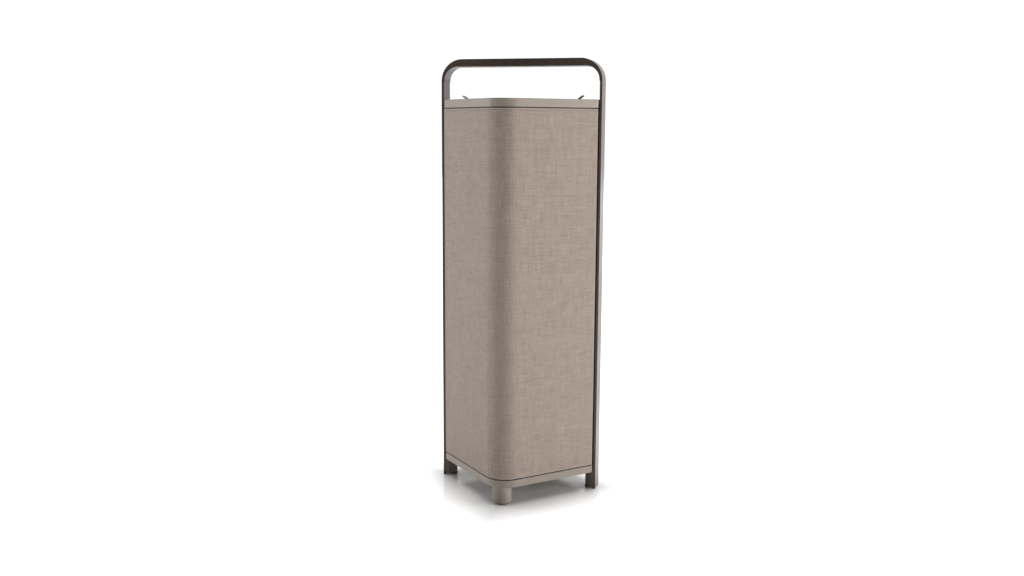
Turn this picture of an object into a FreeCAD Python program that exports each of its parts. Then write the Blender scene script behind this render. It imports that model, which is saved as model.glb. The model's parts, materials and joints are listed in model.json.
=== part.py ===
import FreeCAD, Part
import math
import os
from types import SimpleNamespace
from FreeCAD import Placement, Rotation, Vector
from Sketcher import Constraint

# Air purifier: a square column turned 45 degrees in plan, held in an upright flat-bar hoop.
# Millimetres, +Z up. The origin is on the floor at the middle of the hoop, the hoop runs
# along X, and the front corner of the column points along -Y.

doc = FreeCAD.newDocument("air_purifier")
sheet = doc.addObject("Spreadsheet::Sheet", "sizes")


# ---------------------------------------------------------------- driving dimensions

class Size:
    """A length that carries both its number and the spreadsheet expression that gives it."""

    def __init__(self, number, text):
        self.number = number
        self.text = text

    def joined(self, other, sign, number):
        return Size(number, "(%s %s %s)" % (self.text, sign, text_of(other)))

    def __add__(self, other):
        return self.joined(other, "+", self.number + number_of(other))

    def __sub__(self, other):
        return self.joined(other, "-", self.number - number_of(other))

    def __mul__(self, other):
        return self.joined(other, "*", self.number * number_of(other))

    def __truediv__(self, other):
        return self.joined(other, "/", self.number / number_of(other))

    def __neg__(self):
        return Size(-self.number, "(0 - %s)" % self.text)

    def __radd__(self, other):
        return Size(number_of(other), text_of(other)) + self

    def __rsub__(self, other):
        return Size(number_of(other), text_of(other)) - self


def number_of(value):
    """The plain number of a Size or of a number."""
    return value.number if isinstance(value, Size) else float(value)


def text_of(value):
    """The expression text of a Size or of a number."""
    return value.text if isinstance(value, Size) else "%.9g" % value


def bind(thing, path, value):
    """Tie a property to the spreadsheet, or leave it plain where the value is a plain number."""
    if isinstance(value, Size):
        thing.setExpression(path, value.text)


DIMENSIONS = (
    # the hoop
    ("hoop_width", 380), ("hoop_height", 1005), ("bar_thick", 6), ("bar_depth", 45),
    ("bend_radius", 50), ("bar_edge_round", 0.8), ("leg_floor_gap", 0.5),
    # the hand grip under the top run
    ("grip_thick", 11.5), ("grip_blend", 31), ("grip_tip", 1.2), ("hand_gap", 75),
    # the column in plan: how far its faces stand out past the legs, and its rounded corners
    ("face_stand", 25), ("nose_radius", 50), ("leg_gap", 2), ("cut_round", 6),
    # the column in height
    ("foot_height", 42), ("band_height", 17), ("cap_height", 18.5), ("seam_gap", 2.5),
    # feet
    ("foot_radius", 22), ("foot_inset", 1), ("foot_edge_round", 4), ("pad_thick", 2),
    ("pad_inset", 6),
    # moulded walls
    ("shell_wall", 3), ("plate_thick", 3), ("panel_wall", 4), ("mesh_thick", 1),
    ("top_recess", 8), ("edge_round", 1.2), ("window_bar", 10), ("peg_inset", 40),
    # rails, pegs and screws
    ("rail_thick", 12), ("rail_depth", 39), ("rail_edge", 3.5), ("boss_radius", 3.9),
    ("screw_spread", 12), ("thread_depth", 12), ("peg_radius", 3), ("peg_reach", 12),
    ("peg_clearance", 0.08), ("screw_radius", 2), ("screw_head_radius", 3.4),
    ("screw_head_thick", 2.4), ("hole_clearance", 0.1), ("bolt_radius", 2.5),
    ("bolt_grip", 4), ("bolt_head_radius", 4.5), ("bolt_head_thick", 3), ("bolt_inset", 70),
    # filter cartridge, from how far it stays inside the panels
    ("filter_room", 15), ("filter_height", 440), ("filter_depth", 56), ("filter_cap_thick", 6),
    ("sleeve_thick", 2), ("carbon_thick", 4), ("gasket_thick", 3), ("gasket_width", 12),
    # fan, from how far its housing stays inside the panels
    ("housing_room", 25), ("housing_wall", 3), ("housing_height", 205), ("running_gap", 6),
    ("blade_length", 34), ("inlet_cone_height", 24), ("cone_flange", 14), ("cone_bell", 20),
    ("cone_wall", 2), ("impeller_height", 66), ("impeller_plate", 2.5), ("blade_thick", 2),
    ("hub_radius", 12), ("hub_height", 14), ("shaft_radius", 4), ("shaft_clearance", 0.04),
    ("motor_gap", 8), ("motor_radius", 45), ("motor_height", 44), ("bearing_radius", 11),
    ("bearing_height", 7), ("spider_thick", 5), ("spider_arm", 18), ("spider_ledge", 14),
    ("grommet_radius", 6.5), ("grommet_height", 4), ("motor_screw_ring", 22),
    ("stator_height", 40), ("stator_drop", 5), ("stator_hub", 34),
    # outlet grille and latches
    ("grille_room", 31), ("grille_thick", 5), ("grille_rim", 5), ("grille_rim_thick", 2),
    ("grille_hub", 22), ("slot_width", 6), ("slot_rib", 4), ("fit_gap", 0.4),
    ("latch_gap", 14), ("latch_width", 22), ("latch_side_gap", 1), ("latch_leaf", 2),
    ("latch_hook", 16.5), ("latch_rise", 14.8), ("latch_flare", 12.8), ("latch_hub", 3.2),
    ("latch_pin_radius", 1.5), ("lug_thick", 3), ("lug_height", 6.5),
    # controls in the front of the top plate
    ("control_setback", 69), ("control_offset", 24), ("knob_radius", 13), ("knob_height", 6),
    ("knob_shaft_radius", 3), ("button_radius", 7), ("button_stand", 4), ("button_flange", 2),
    ("button_travel", 1.5), ("board_thick", 1.6), ("board_width", 86), ("board_depth", 26),
    ("board_drop", 11), ("board_boss", 3), ("switch_width", 12), ("switch_height", 7),
    ("lens_radius", 2.5), ("flute_radius", 1.9),
    # electrics
    ("sensor_setback", 59), ("sensor_width", 44), ("sensor_depth", 26), ("sensor_height", 20),
    ("bay_shift", 62), ("supply_width", 58), ("supply_depth", 22), ("supply_height", 100),
    ("supply_wall", 2), ("socket_width", 28), ("socket_depth", 18), ("socket_height", 20),
    ("socket_flange", 3), ("socket_flange_thick", 2), ("socket_mouth", 12),
    ("pin_radius", 1.2), ("pin_spacing", 12), ("pin_length", 9), ("lead_radius", 3),
)


def fill_sheet():
    """Write each driving dimension into the sheet and hand the sizes back by name."""
    named = {}
    for row, (alias, number) in enumerate(DIMENSIONS, start=1):
        sheet.set("A%d" % row, alias)
        sheet.set("B%d" % row, "%g" % number)
        sheet.setAlias("B%d" % row, alias)
        named[alias] = Size(float(number), "sizes." + alias)
    doc.recompute()
    return SimpleNamespace(**named)


dim = fill_sheet()


# ---------------------------------------------------------------- modelling helpers

def origin_plane(body, role):
    """One of a body's own origin planes, such as XY_Plane."""
    return next(item for item in body.Origin.OriginFeatures if item.Role == role)


def new_body(label):
    """An empty body that carries a sub-part."""
    body = doc.addObject("PartDesign::Body", label)
    body.Label = label
    body.AllowCompound = True
    return body


def unit(vector):
    """The same direction at length one."""
    return vector / vector.Length


def outline(sketch, corners):
    """Draw one closed outline. A corner is (x, y), or (x, y, radius) where it is rounded."""
    points = [Vector(number_of(corner[0]), number_of(corner[1]), 0) for corner in corners]
    count = len(points)
    starts = list(points)
    ends = list(points)
    arcs = {}
    for index, corner in enumerate(corners):
        if len(corner) < 3:
            continue
        radius = number_of(corner[2])
        towards = unit(points[index - 1] - points[index])
        onwards = unit(points[(index + 1) % count] - points[index])
        half = towards.getAngle(onwards) / 2
        ends[index] = points[index] + towards * (radius / math.tan(half))
        starts[index] = points[index] + onwards * (radius / math.tan(half))
        centre = points[index] + unit(towards + onwards) * (radius / math.sin(half))
        left_turn = (-towards).cross(onwards).z > 0
        first, last = (ends[index], starts[index]) if left_turn else (starts[index], ends[index])
        angles = [math.atan2(spot.y - centre.y, spot.x - centre.x) for spot in (first, last)]
        circle = Part.Circle(centre, Vector(0, 0, 1), radius)
        arcs[index] = (Part.ArcOfCircle(circle, angles[0], angles[1]), left_turn)
    base = sketch.GeometryCount
    for index in range(count):
        sketch.addGeometry(Part.LineSegment(starts[index], ends[(index + 1) % count]), False)
    for index, corner in enumerate(corners):
        line_in = base + (index - 1) % count
        line_out = base + index
        if index in arcs:
            arc, left_turn = arcs[index]
            arc_id = sketch.addGeometry(arc, False)
            near, far = (1, 2) if left_turn else (2, 1)
            sketch.addConstraint(Constraint("Tangent", line_in, 2, arc_id, near))
            sketch.addConstraint(Constraint("Tangent", arc_id, far, line_out, 1))
            rule = sketch.addConstraint(Constraint("Radius", arc_id, number_of(corner[2])))
            bind(sketch, "Constraints[%d]" % rule, corner[2])
            anchor = sketch.addGeometry(Part.Point(points[index]), True)
            sketch.addConstraint(Constraint("PointOnObject", anchor, 1, line_in))
            sketch.addConstraint(Constraint("PointOnObject", anchor, 1, line_out))
        else:
            anchor = line_out
            sketch.addConstraint(Constraint("Coincident", line_in, 2, line_out, 1))
        for kind, value in (("DistanceX", corner[0]), ("DistanceY", corner[1])):
            rule = sketch.addConstraint(Constraint(kind, -1, 1, anchor, 1, number_of(value)))
            bind(sketch, "Constraints[%d]" % rule, value)


def ring(sketch, x, y, radius):
    """Draw a circle at x, y."""
    circle = Part.Circle(Vector(number_of(x), number_of(y), 0), Vector(0, 0, 1), number_of(radius))
    drawn = sketch.addGeometry(circle, False)
    rule = sketch.addConstraint(Constraint("Radius", drawn, number_of(radius)))
    bind(sketch, "Constraints[%d]" % rule, radius)
    for kind, value in (("DistanceX", x), ("DistanceY", y)):
        rule = sketch.addConstraint(Constraint(kind, -1, 1, drawn, 3, number_of(value)))
        bind(sketch, "Constraints[%d]" % rule, value)


def sketch_on(body, role, offset=0.0, turn=0.0, outlines=(), rings=(), swing=0.0):
    """A sketch on an origin plane, moved along its normal.

    It can be turned about its own Y axis, and swung in its own plane.
    """
    sketch = body.newObject("Sketcher::SketchObject", body.Label + "_sketch")
    sketch.AttachmentSupport = (origin_plane(body, role), [""])
    sketch.MapMode = "FlatFace"
    sketch.AttachmentOffset = Placement(Vector(0, 0, number_of(offset)),
                                        Rotation(Vector(0, 1, 0), turn)
                                        * Rotation(Vector(0, 0, 1), swing))
    bind(sketch, "AttachmentOffset.Base.z", offset)
    for corners in outlines:
        outline(sketch, corners)
    for x, y, radius in rings:
        ring(sketch, x, y, radius)
    return sketch


def pad(body, sketch, length, midplane=False, backwards=False):
    """Raise a sketch into a solid."""
    feature = body.newObject("PartDesign::Pad", body.Label + "_pad")
    feature.Profile = sketch
    feature.Midplane = midplane
    feature.Reversed = backwards
    feature.Length = number_of(length)
    bind(feature, "Length", length)
    body.Tip = feature
    return feature


def pocket(body, sketch, depth=None, backwards=False, midplane=False):
    """Cut a sketch out of a body, to a depth or right through."""
    doc.recompute()
    before = body.Shape.Volume
    feature = body.newObject("PartDesign::Pocket", body.Label + "_pocket")
    feature.Profile = sketch
    feature.Reversed = backwards
    feature.Midplane = midplane
    if depth is None:
        feature.Type = "ThroughAll"
    else:
        feature.Length = number_of(depth)
        bind(feature, "Length", depth)
    body.Tip = feature
    doc.recompute()
    if not body.Shape.Volume < before:
        raise ValueError("a pocket in %s cuts nothing" % body.Label)
    return feature


def spin(body, sketch):
    """Turn a sketch on the XZ plane about the vertical axis into a solid."""
    feature = body.newObject("PartDesign::Revolution", body.Label + "_turned")
    feature.Profile = sketch
    feature.ReferenceAxis = (sketch, ["V_Axis"])
    feature.Angle = 360
    body.Tip = feature
    return feature


def polar(body, features, count):
    """Repeat features around the body's vertical axis."""
    doc.recompute()
    feature = body.newObject("PartDesign::PolarPattern", body.Label + "_pattern")
    feature.Originals = features
    feature.Axis = (next(item for item in body.Origin.OriginFeatures if item.Role == "Z_Axis"), [""])
    feature.Angle = 360
    feature.Occurrences = count
    body.Tip = feature
    return feature


def at(thing, x=0.0, y=0.0, z=0.0, rotation=None):
    """Give an object its place, tied to the sheet."""
    thing.Placement = Placement(Vector(number_of(x), number_of(y), number_of(z)),
                                rotation or Rotation())
    for axis, value in (("x", x), ("y", y), ("z", z)):
        bind(thing, "Placement.Base." + axis, value)
    return thing


def part(kind, name, **sizes):
    """A Part primitive with its sizes tied to the sheet."""
    made = doc.addObject("Part::" + kind, name)
    for path, value in sizes.items():
        setattr(made, path, number_of(value))
        bind(made, path, value)
    return made


ALONG = {"x": Rotation(Vector(0, 1, 0), 90), "y": Rotation(Vector(1, 0, 0), -90),
         "z": Rotation(), "-x": Rotation(Vector(0, 1, 0), -90),
         "-y": Rotation(Vector(1, 0, 0), 90), "-z": Rotation(Vector(1, 0, 0), 180)}


def rod(name, radius, length, x, y, z, along="z"):
    """A round bar that starts at x, y, z and runs one way."""
    return at(part("Cylinder", name, Radius=radius, Height=length), x, y, z, ALONG[along])


def block(name, length, width, height, x, y, z):
    """A block with its lowest corner at x, y, z."""
    return at(part("Box", name, Length=length, Width=width, Height=height), x, y, z)


def joined(name, shapes):
    """Several solids fused into one."""
    made = doc.addObject("Part::MultiFuse", name)
    made.Shapes = shapes
    return made


def cut_from(label, base, tools):
    """A base with every tool cut away from it."""
    made = doc.addObject("Part::Cut", label)
    made.Base = base
    made.Tool = tools[0] if len(tools) == 1 else joined(label + "_tools", tools)
    made.Label = label
    return made


def group(label, shapes):
    """Identical separate solids kept together as one sub-part."""
    made = doc.addObject("Part::Compound", label)
    made.Links = shapes
    made.Label = label
    return made


def screw(name, x, y, z, along, length, bolt=False):
    """A screw that runs from under its head at x, y, z one way. The head sits behind that point."""
    radius = dim.bolt_radius if bolt else dim.screw_radius
    head_radius = dim.bolt_head_radius if bolt else dim.screw_head_radius
    head_thick = dim.bolt_head_thick if bolt else dim.screw_head_thick
    back = along[1:] if along.startswith("-") else "-" + along
    shank = rod(name + "_shank", radius, length, x, y, z, along)
    head = rod(name + "_head", head_radius, head_thick, x, y, z, back)
    return joined(name, [shank, head])


# ---------------------------------------------------------------- shared levels and distances

ROOT_TWO = math.sqrt(2)
BAY_SWING = -45
TOLERANCE = 0.001
SIDES = ((-1, "left"), (1, "right"))

BLADE_COUNT = 9
VANE_COUNT = 12
INNER_SLOT_COUNT = 16
OUTER_SLOT_COUNT = 36
FLUTE_COUNT = 18
WINDOW_COLUMNS = 2
WINDOW_ROWS = 4
GRIP_SCREW_SHARES = (-1.0, -0.34, 0.34, 1.0)  # places along the top run, as shares of half of it
BLADE_MIDDLE = (0.84, 0.24)  # where a blade bends, as shares of the impeller's radius
BLADE_TIP = (0.76, 0.6)  # where a blade ends, as shares of the impeller's radius
BORE_SHARE = 1.5  # the hole through the motor against its shaft

half_width = dim.hoop_width / 2
leg_inner = half_width - dim.bar_thick
panel_end = leg_inner - dim.leg_gap
rail_inner = leg_inner - dim.rail_thick
half_diagonal = leg_inner + dim.face_stand
face_distance = half_diagonal / ROOT_TWO
inside_distance = face_distance - dim.mesh_thick - dim.panel_wall

band_top = dim.foot_height + dim.band_height
floor_top = dim.foot_height + dim.shell_wall
panel_bottom = band_top + dim.seam_gap
grip_bottom = dim.hoop_height - dim.bar_thick - dim.grip_thick
cap_top = grip_bottom - dim.hand_gap
cap_bottom = cap_top - dim.cap_height
panel_top = cap_bottom - dim.seam_gap
plate_top = cap_top - dim.top_recess
plate_bottom = plate_top - dim.plate_thick

filter_radius = inside_distance - dim.filter_room
filter_bottom = floor_top + dim.gasket_thick
pleats_bottom = filter_bottom + dim.filter_cap_thick
pleats_top = pleats_bottom + dim.filter_height
filter_top = pleats_top + dim.filter_cap_thick
core_radius = filter_radius - dim.filter_depth
deck_bottom = filter_top + dim.gasket_thick
deck_top = deck_bottom + dim.plate_thick

housing_radius = inside_distance - dim.housing_room
housing_inner = housing_radius - dim.housing_wall
housing_top = deck_top + dim.housing_height
impeller_radius = housing_inner - dim.running_gap * 2
throat_radius = impeller_radius - dim.blade_length
shroud_bottom = deck_top + dim.inlet_cone_height - dim.running_gap
hub_plate_top = shroud_bottom + dim.impeller_height
motor_bottom = hub_plate_top + dim.motor_gap
motor_top = motor_bottom + dim.motor_height
spider_top = motor_top + dim.spider_thick
ledge_top = motor_top - dim.grommet_height
ledge_ring = housing_inner - dim.grommet_radius

grille_radius = inside_distance - dim.grille_room
latch_offset = grille_radius + dim.grille_rim + dim.latch_gap
pivot_height = plate_top + dim.latch_hub
control_row = half_diagonal - dim.control_setback
sensor_row = half_diagonal - dim.sensor_setback
bay_out = inside_distance - dim.supply_depth / 2 - dim.fit_gap
bay_x = (bay_out - dim.bay_shift) / ROOT_TWO
bay_y = (bay_out + dim.bay_shift) / ROOT_TWO
board_top = plate_bottom - dim.board_drop
screw_column = rail_inner + dim.rail_edge
peg_column = panel_end - dim.peg_radius * 2
peg_seat = (half_diagonal - dim.mesh_thick * ROOT_TWO - peg_column - dim.peg_radius
            - dim.edge_round / 2)
peg_heights = (panel_bottom + dim.peg_inset, (panel_bottom + panel_top) / 2,
               panel_top - dim.peg_inset)
bolt_heights = (band_top + dim.bolt_inset, deck_bottom - dim.bolt_inset,
                cap_bottom - dim.bolt_inset)


def column_plan(inset, end, round_ends=True):
    """The plan of the column, drawn in by inset and cut off at end beside each leg."""
    reach = half_diagonal - inset * ROOT_TWO
    nose = dim.nose_radius - inset
    side = reach - end
    cut = (dim.cut_round,) if round_ends else ()
    return [(0.0, -reach, nose), (end, -side) + cut, (end, side) + cut,
            (0.0, reach, nose), (-end, side) + cut, (-end, -side) + cut]


def front_wall_plan(outer_inset, wall):
    """The plan of a wall round the front half of the column, leg to leg."""
    reach = half_diagonal - outer_inset * ROOT_TWO
    back = reach - wall * ROOT_TWO
    nose = dim.nose_radius - outer_inset
    return [(-panel_end, -(reach - panel_end)), (0.0, -reach, nose),
            (panel_end, -(reach - panel_end)), (panel_end, -(back - panel_end)),
            (0.0, -back, nose - wall), (-panel_end, -(back - panel_end))]


def plate_hole(body, x, y, radius):
    """A round hole through the top plate."""
    sketch = sketch_on(body, "XY_Plane", plate_bottom, rings=[(x, y, radius)])
    return pocket(body, sketch, dim.plate_thick, backwards=True)


def soften(body, radius, chosen):
    """Round the edges of a body for which chosen(edge) holds."""
    doc.recompute()
    rough = body.Tip
    names = ["Edge%d" % (number + 1) for number, edge in enumerate(rough.Shape.Edges) if chosen(edge)]
    feature = body.newObject("PartDesign::Fillet", body.Label + "_edges")
    feature.Base = (rough, names)
    feature.Radius = number_of(radius)
    bind(feature, "Radius", radius)
    body.Tip = feature
    return feature


def lies_at(edge, height):
    """Whether a whole edge lies at one height."""
    box = edge.BoundBox
    return abs(box.ZMin - height) < TOLERANCE and abs(box.ZMax - height) < TOLERANCE


# ---------------------------------------------------------------- hoop and grip

def hoop_frame():
    """The flat bar bent into an upside-down U, drilled for its bolts and the grip's screws."""
    low = dim.leg_floor_gap
    high = dim.hoop_height
    inner_high = high - dim.bar_thick
    inner_bend = dim.bend_radius - dim.bar_thick
    body = new_body("hoop_frame")
    sketch = sketch_on(body, "XZ_Plane", outlines=[[
        (-half_width, low), (-leg_inner, low), (-leg_inner, inner_high, inner_bend),
        (leg_inner, inner_high, inner_bend), (leg_inner, low), (half_width, low),
        (half_width, high, dim.bend_radius), (-half_width, high, dim.bend_radius)]])
    pad(body, sketch, dim.bar_depth, midplane=True)
    limit = number_of(dim.bar_depth) / 2
    soften(body, dim.bar_edge_round, lambda edge: is_flat_at(edge, limit))
    holes = sketch_on(body, "YZ_Plane", rings=[(0.0, height, dim.bolt_radius)
                                               for height in bolt_heights])
    pocket(body, holes, (leg_inner + dim.bolt_grip) * 2, midplane=True)
    for radius, depth in ((dim.screw_head_radius, dim.screw_head_thick),
                          (dim.screw_radius, dim.bar_thick)):
        pocket(body, sketch_on(body, "XY_Plane", high, rings=[
            (x, 0.0, radius + dim.hole_clearance) for x in grip_screw_places()]), depth)
    return body


def is_flat_at(edge, distance):
    """Whether a whole edge lies in the plane at that distance in front of or behind the hoop."""
    box = edge.BoundBox
    in_one_plane = abs(box.YMax - box.YMin) < TOLERANCE
    return in_one_plane and abs(abs(box.YMin) - distance) < TOLERANCE


def handle_grip():
    """The moulded grip that fills the hoop's bends and thickens its top run for the hand."""
    high = dim.hoop_height - dim.bar_thick
    bend = dim.bend_radius - dim.bar_thick
    tip_end = leg_inner - dim.grip_tip
    tip_low = high - bend - dim.grip_tip
    body = new_body("handle_grip")
    sketch = sketch_on(body, "XZ_Plane", outlines=[[
        (-leg_inner, tip_low), (-tip_end, tip_low), (-tip_end, grip_bottom, dim.grip_blend),
        (tip_end, grip_bottom, dim.grip_blend), (tip_end, tip_low), (leg_inner, tip_low),
        (leg_inner, high, bend), (-leg_inner, high, bend)]])
    pad(body, sketch, dim.bar_depth - dim.bar_edge_round * 2, midplane=True)
    low = grip_bottom + dim.grip_thick
    holes = sketch_on(body, "XY_Plane", low, rings=[(x, 0.0, dim.screw_radius)
                                                    for x in grip_screw_places()])
    pocket(body, holes, dim.grip_thick / 2)
    return body


def grip_screw_places():
    """Where along the top run the grip's screws stand."""
    reach = leg_inner - dim.bend_radius
    return [reach * share for share in GRIP_SCREW_SHARES]


def grip_screws():
    """Flush screws from the top of the hoop down into the grip."""
    under_head = dim.hoop_height - dim.screw_head_thick
    length = dim.bar_thick - dim.screw_head_thick + dim.grip_thick / 2
    return group("grip_screws", [screw("grip_screw", x, 0.0, under_head, "-z", length)
                                 for x in grip_screw_places()])


# ---------------------------------------------------------------- base, feet and rails

def base_tray():
    """The shallow moulded tray that forms the band at the foot of the column."""
    body = new_body("base_tray")
    pad(body, sketch_on(body, "XY_Plane", dim.foot_height,
                        outlines=[column_plan(0.0, panel_end)]), dim.band_height)
    soften(body, dim.edge_round, lambda edge: lies_at(edge, number_of(dim.foot_height)))
    inside = column_plan(dim.shell_wall, panel_end - dim.shell_wall, round_ends=False)
    pocket(body, sketch_on(body, "XY_Plane", floor_top, outlines=[inside]), backwards=True)
    bosses = sketch_on(body, "XY_Plane", floor_top, rings=column_screws(dim.boss_radius))
    pad(body, bosses, dim.band_height - dim.shell_wall)
    hole = dim.screw_radius + dim.hole_clearance
    pocket(body, sketch_on(body, "XY_Plane", dim.foot_height, rings=column_screws(hole)),
           backwards=True)
    pocket(body, sketch_on(body, "XY_Plane", dim.foot_height, rings=foot_places(hole)),
           backwards=True)
    half_x = dim.socket_width / 2
    half_y = dim.socket_depth / 2
    pocket(body, sketch_on(body, "XY_Plane", dim.foot_height, swing=BAY_SWING, outlines=[
        rectangle(-dim.bay_shift - half_x, bay_out - half_y,
                  -dim.bay_shift + half_x, bay_out + half_y)]),
        backwards=True)
    return body


def in_bay(thing, z=0.0):
    """Turn a piece to lie along the rear right face, and move it to the electrics bay there."""
    return at(thing, bay_x, bay_y, z, Rotation(Vector(0, 0, 1), BAY_SWING))


def rectangle(low_x, low_y, high_x, high_y):
    """The four corners of an upright rectangle."""
    return [(low_x, low_y), (high_x, low_y), (high_x, high_y), (low_x, high_y)]


def column_screws(radius):
    """Circles at the four places where the tray and the cap are screwed to the rails."""
    return [(screw_column * side, dim.screw_spread * end, radius)
            for side in (-1, 1) for end in (-1, 1)]


def foot_row():
    """How far the round feet stand in front of and behind the middle, under the corners."""
    nose_centre = half_diagonal - dim.nose_radius * ROOT_TWO
    return nose_centre + dim.nose_radius - dim.foot_radius - dim.foot_inset


def side_foot_column():
    """How far out the fixing of a side foot stands, a little inside its leg."""
    return panel_end - dim.foot_radius / 2


def foot_places(radius):
    """Circles at the four foot screws."""
    places = [(0.0, foot_row() * side, radius) for side in (-1, 1)]
    return places + [(side_foot_column() * side, 0.0, radius) for side in (-1, 1)]


def foot_profile(radius):
    """Half the upright section of a round foot: soft lower edge, flat top."""
    return [(0.0, dim.pad_thick), (radius, dim.pad_thick, dim.foot_edge_round),
            (radius, dim.foot_height), (0.0, dim.foot_height)]


def foot_hole(body, x=0.0):
    """The blind hole for a foot's screw, in the top of the foot."""
    hole = sketch_on(body, "XY_Plane", dim.foot_height, rings=[(x, 0.0, dim.screw_radius)])
    pocket(body, hole, dim.thread_depth)


def round_foot(label, side):
    """A round foot under the front or the rear corner of the column."""
    body = new_body(label)
    spin(body, sketch_on(body, "XZ_Plane", outlines=[foot_profile(dim.foot_radius)]))
    foot_hole(body)
    return at(body, y=foot_row() * side)


def side_foot(label, side):
    """A half-round foot that stands against the inner face of a leg."""
    body = new_body(label)
    spin(body, sketch_on(body, "XZ_Plane", outlines=[foot_profile(dim.foot_radius)]))
    keep_off = dim.foot_radius * 2
    trim = sketch_on(body, "XY_Plane", 0.0, outlines=[
        rectangle(0.0, -keep_off, keep_off, keep_off)])
    pocket(body, trim, dim.foot_height, backwards=True)
    foot_hole(body, -(leg_inner - side_foot_column()))
    heads = [(-(leg_inner - screw_column), dim.screw_spread * end,
              dim.screw_head_radius + dim.hole_clearance) for end in (-1, 1)]
    pocket(body, sketch_on(body, "XY_Plane", dim.foot_height, rings=heads), dim.screw_head_thick)
    turn = Rotation() if side > 0 else Rotation(Vector(0, 0, 1), 180)
    return at(body, x=leg_inner * side, rotation=turn)


def foot_pads():
    """Rubber discs under the four feet, which carry the whole object."""
    radius = dim.foot_radius - dim.pad_inset
    side_radius = dim.foot_radius / 2 - dim.edge_round
    shapes = [rod("pad_%d" % (side + 2), radius, dim.pad_thick, 0.0, foot_row() * side, 0.0)
              for side in (-1, 1)]
    shapes += [rod("side_pad_%d" % (side + 2), side_radius, dim.pad_thick,
                   side_foot_column() * side, 0.0, 0.0) for side in (-1, 1)]
    return group("foot_pads", shapes)


def foot_screws():
    """Screws down through the tray's floor into the feet."""
    shapes = [screw("foot_screw_%d" % number, x, y, floor_top, "-z",
                    dim.shell_wall + dim.thread_depth)
              for number, (x, y, _) in enumerate(foot_places(dim.screw_radius))]
    return group("foot_screws", shapes)


def rail(label, side):
    """The upright that carries the column between the tray and the cap, bolted to a leg."""
    low_x = rail_inner if side > 0 else -leg_inner
    half = dim.rail_depth / 2
    base = block(label + "_bar", dim.rail_thick, dim.rail_depth, cap_bottom - band_top,
                 low_x, -half, band_top)
    tools = []
    for height in bolt_heights:
        tools.append(rod(label + "_bolt_hole", dim.bolt_radius, dim.rail_thick,
                         low_x, 0.0, height, "x"))
    for height in peg_heights:
        for end in (-1, 1):
            tools.append(rod(label + "_socket", dim.peg_radius + dim.peg_clearance,
                             dim.peg_reach + dim.peg_radius, peg_column * side, half * end,
                             height, "-y" if end > 0 else "y"))
    for end in (-1, 1):
        for height, way in ((band_top, "z"), (cap_bottom, "-z")):
            tools.append(rod(label + "_screw_hole", dim.screw_radius, dim.thread_depth,
                             screw_column * side, dim.screw_spread * end, height, way))
        tools.append(rod(label + "_deck_hole", dim.screw_radius, dim.thread_depth / 2,
                         rail_inner * side, dim.screw_spread * end, deck_screw_height(),
                         "x" if side > 0 else "-x"))
    return cut_from(label, base, tools)


def deck_screw_height():
    """How high the screws through the deck's upturned ends stand."""
    return deck_top + dim.screw_head_radius + dim.screw_radius


def column_bolts():
    """Bolts from inside the rails into the legs."""
    shapes = []
    for side, name in SIDES:
        for height in bolt_heights:
            shapes.append(screw("bolt_" + name, rail_inner * side, 0.0, height,
                                "x" if side > 0 else "-x", dim.rail_thick + dim.bolt_grip,
                                bolt=True))
    return group("hoop_bolts", shapes)


def column_end_screws(label, height, way, through):
    """Screws that hold the tray or the cap to the ends of the rails."""
    shapes = [screw(label + "_one", x, y, height, way, through + dim.thread_depth)
              for x, y, _ in column_screws(dim.screw_radius)]
    return group(label, shapes)


# ---------------------------------------------------------------- filter cartridge

def turned_ring(label, inner, outer, low, high):
    """A plain ring about the column's axis."""
    body = new_body(label)
    spin(body, sketch_on(body, "XZ_Plane", outlines=[rectangle(inner, low, outer, high)]))
    return body


def filter_gaskets():
    """Soft rings that seal the cartridge to the tray and to the fan deck."""
    outer = core_radius + dim.filter_depth - dim.gasket_width
    inner = outer - dim.gasket_width
    body = new_body("filter_gaskets")
    spin(body, sketch_on(body, "XZ_Plane", outlines=[
        rectangle(inner, floor_top, outer, filter_bottom),
        rectangle(inner, filter_top, outer, deck_bottom)]))
    return body


def filter_end_cap(label, low, high, rim_low, rim_high, hole):
    """An end cap of the cartridge: a disc with a rim that grips the pleats."""
    rim_inner = filter_radius
    rim_outer = filter_radius + dim.sleeve_thick
    if number_of(rim_low) < number_of(low):
        corners = [(hole, low), (rim_inner, low), (rim_inner, rim_low), (rim_outer, rim_low),
                   (rim_outer, high, dim.edge_round), (hole, high)]
    else:
        corners = [(hole, low), (rim_outer, low, dim.edge_round), (rim_outer, rim_high),
                   (rim_inner, rim_high), (rim_inner, high), (hole, high)]
    body = new_body(label)
    spin(body, sketch_on(body, "XZ_Plane", outlines=[corners]))
    return body


# ---------------------------------------------------------------- fan

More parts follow.
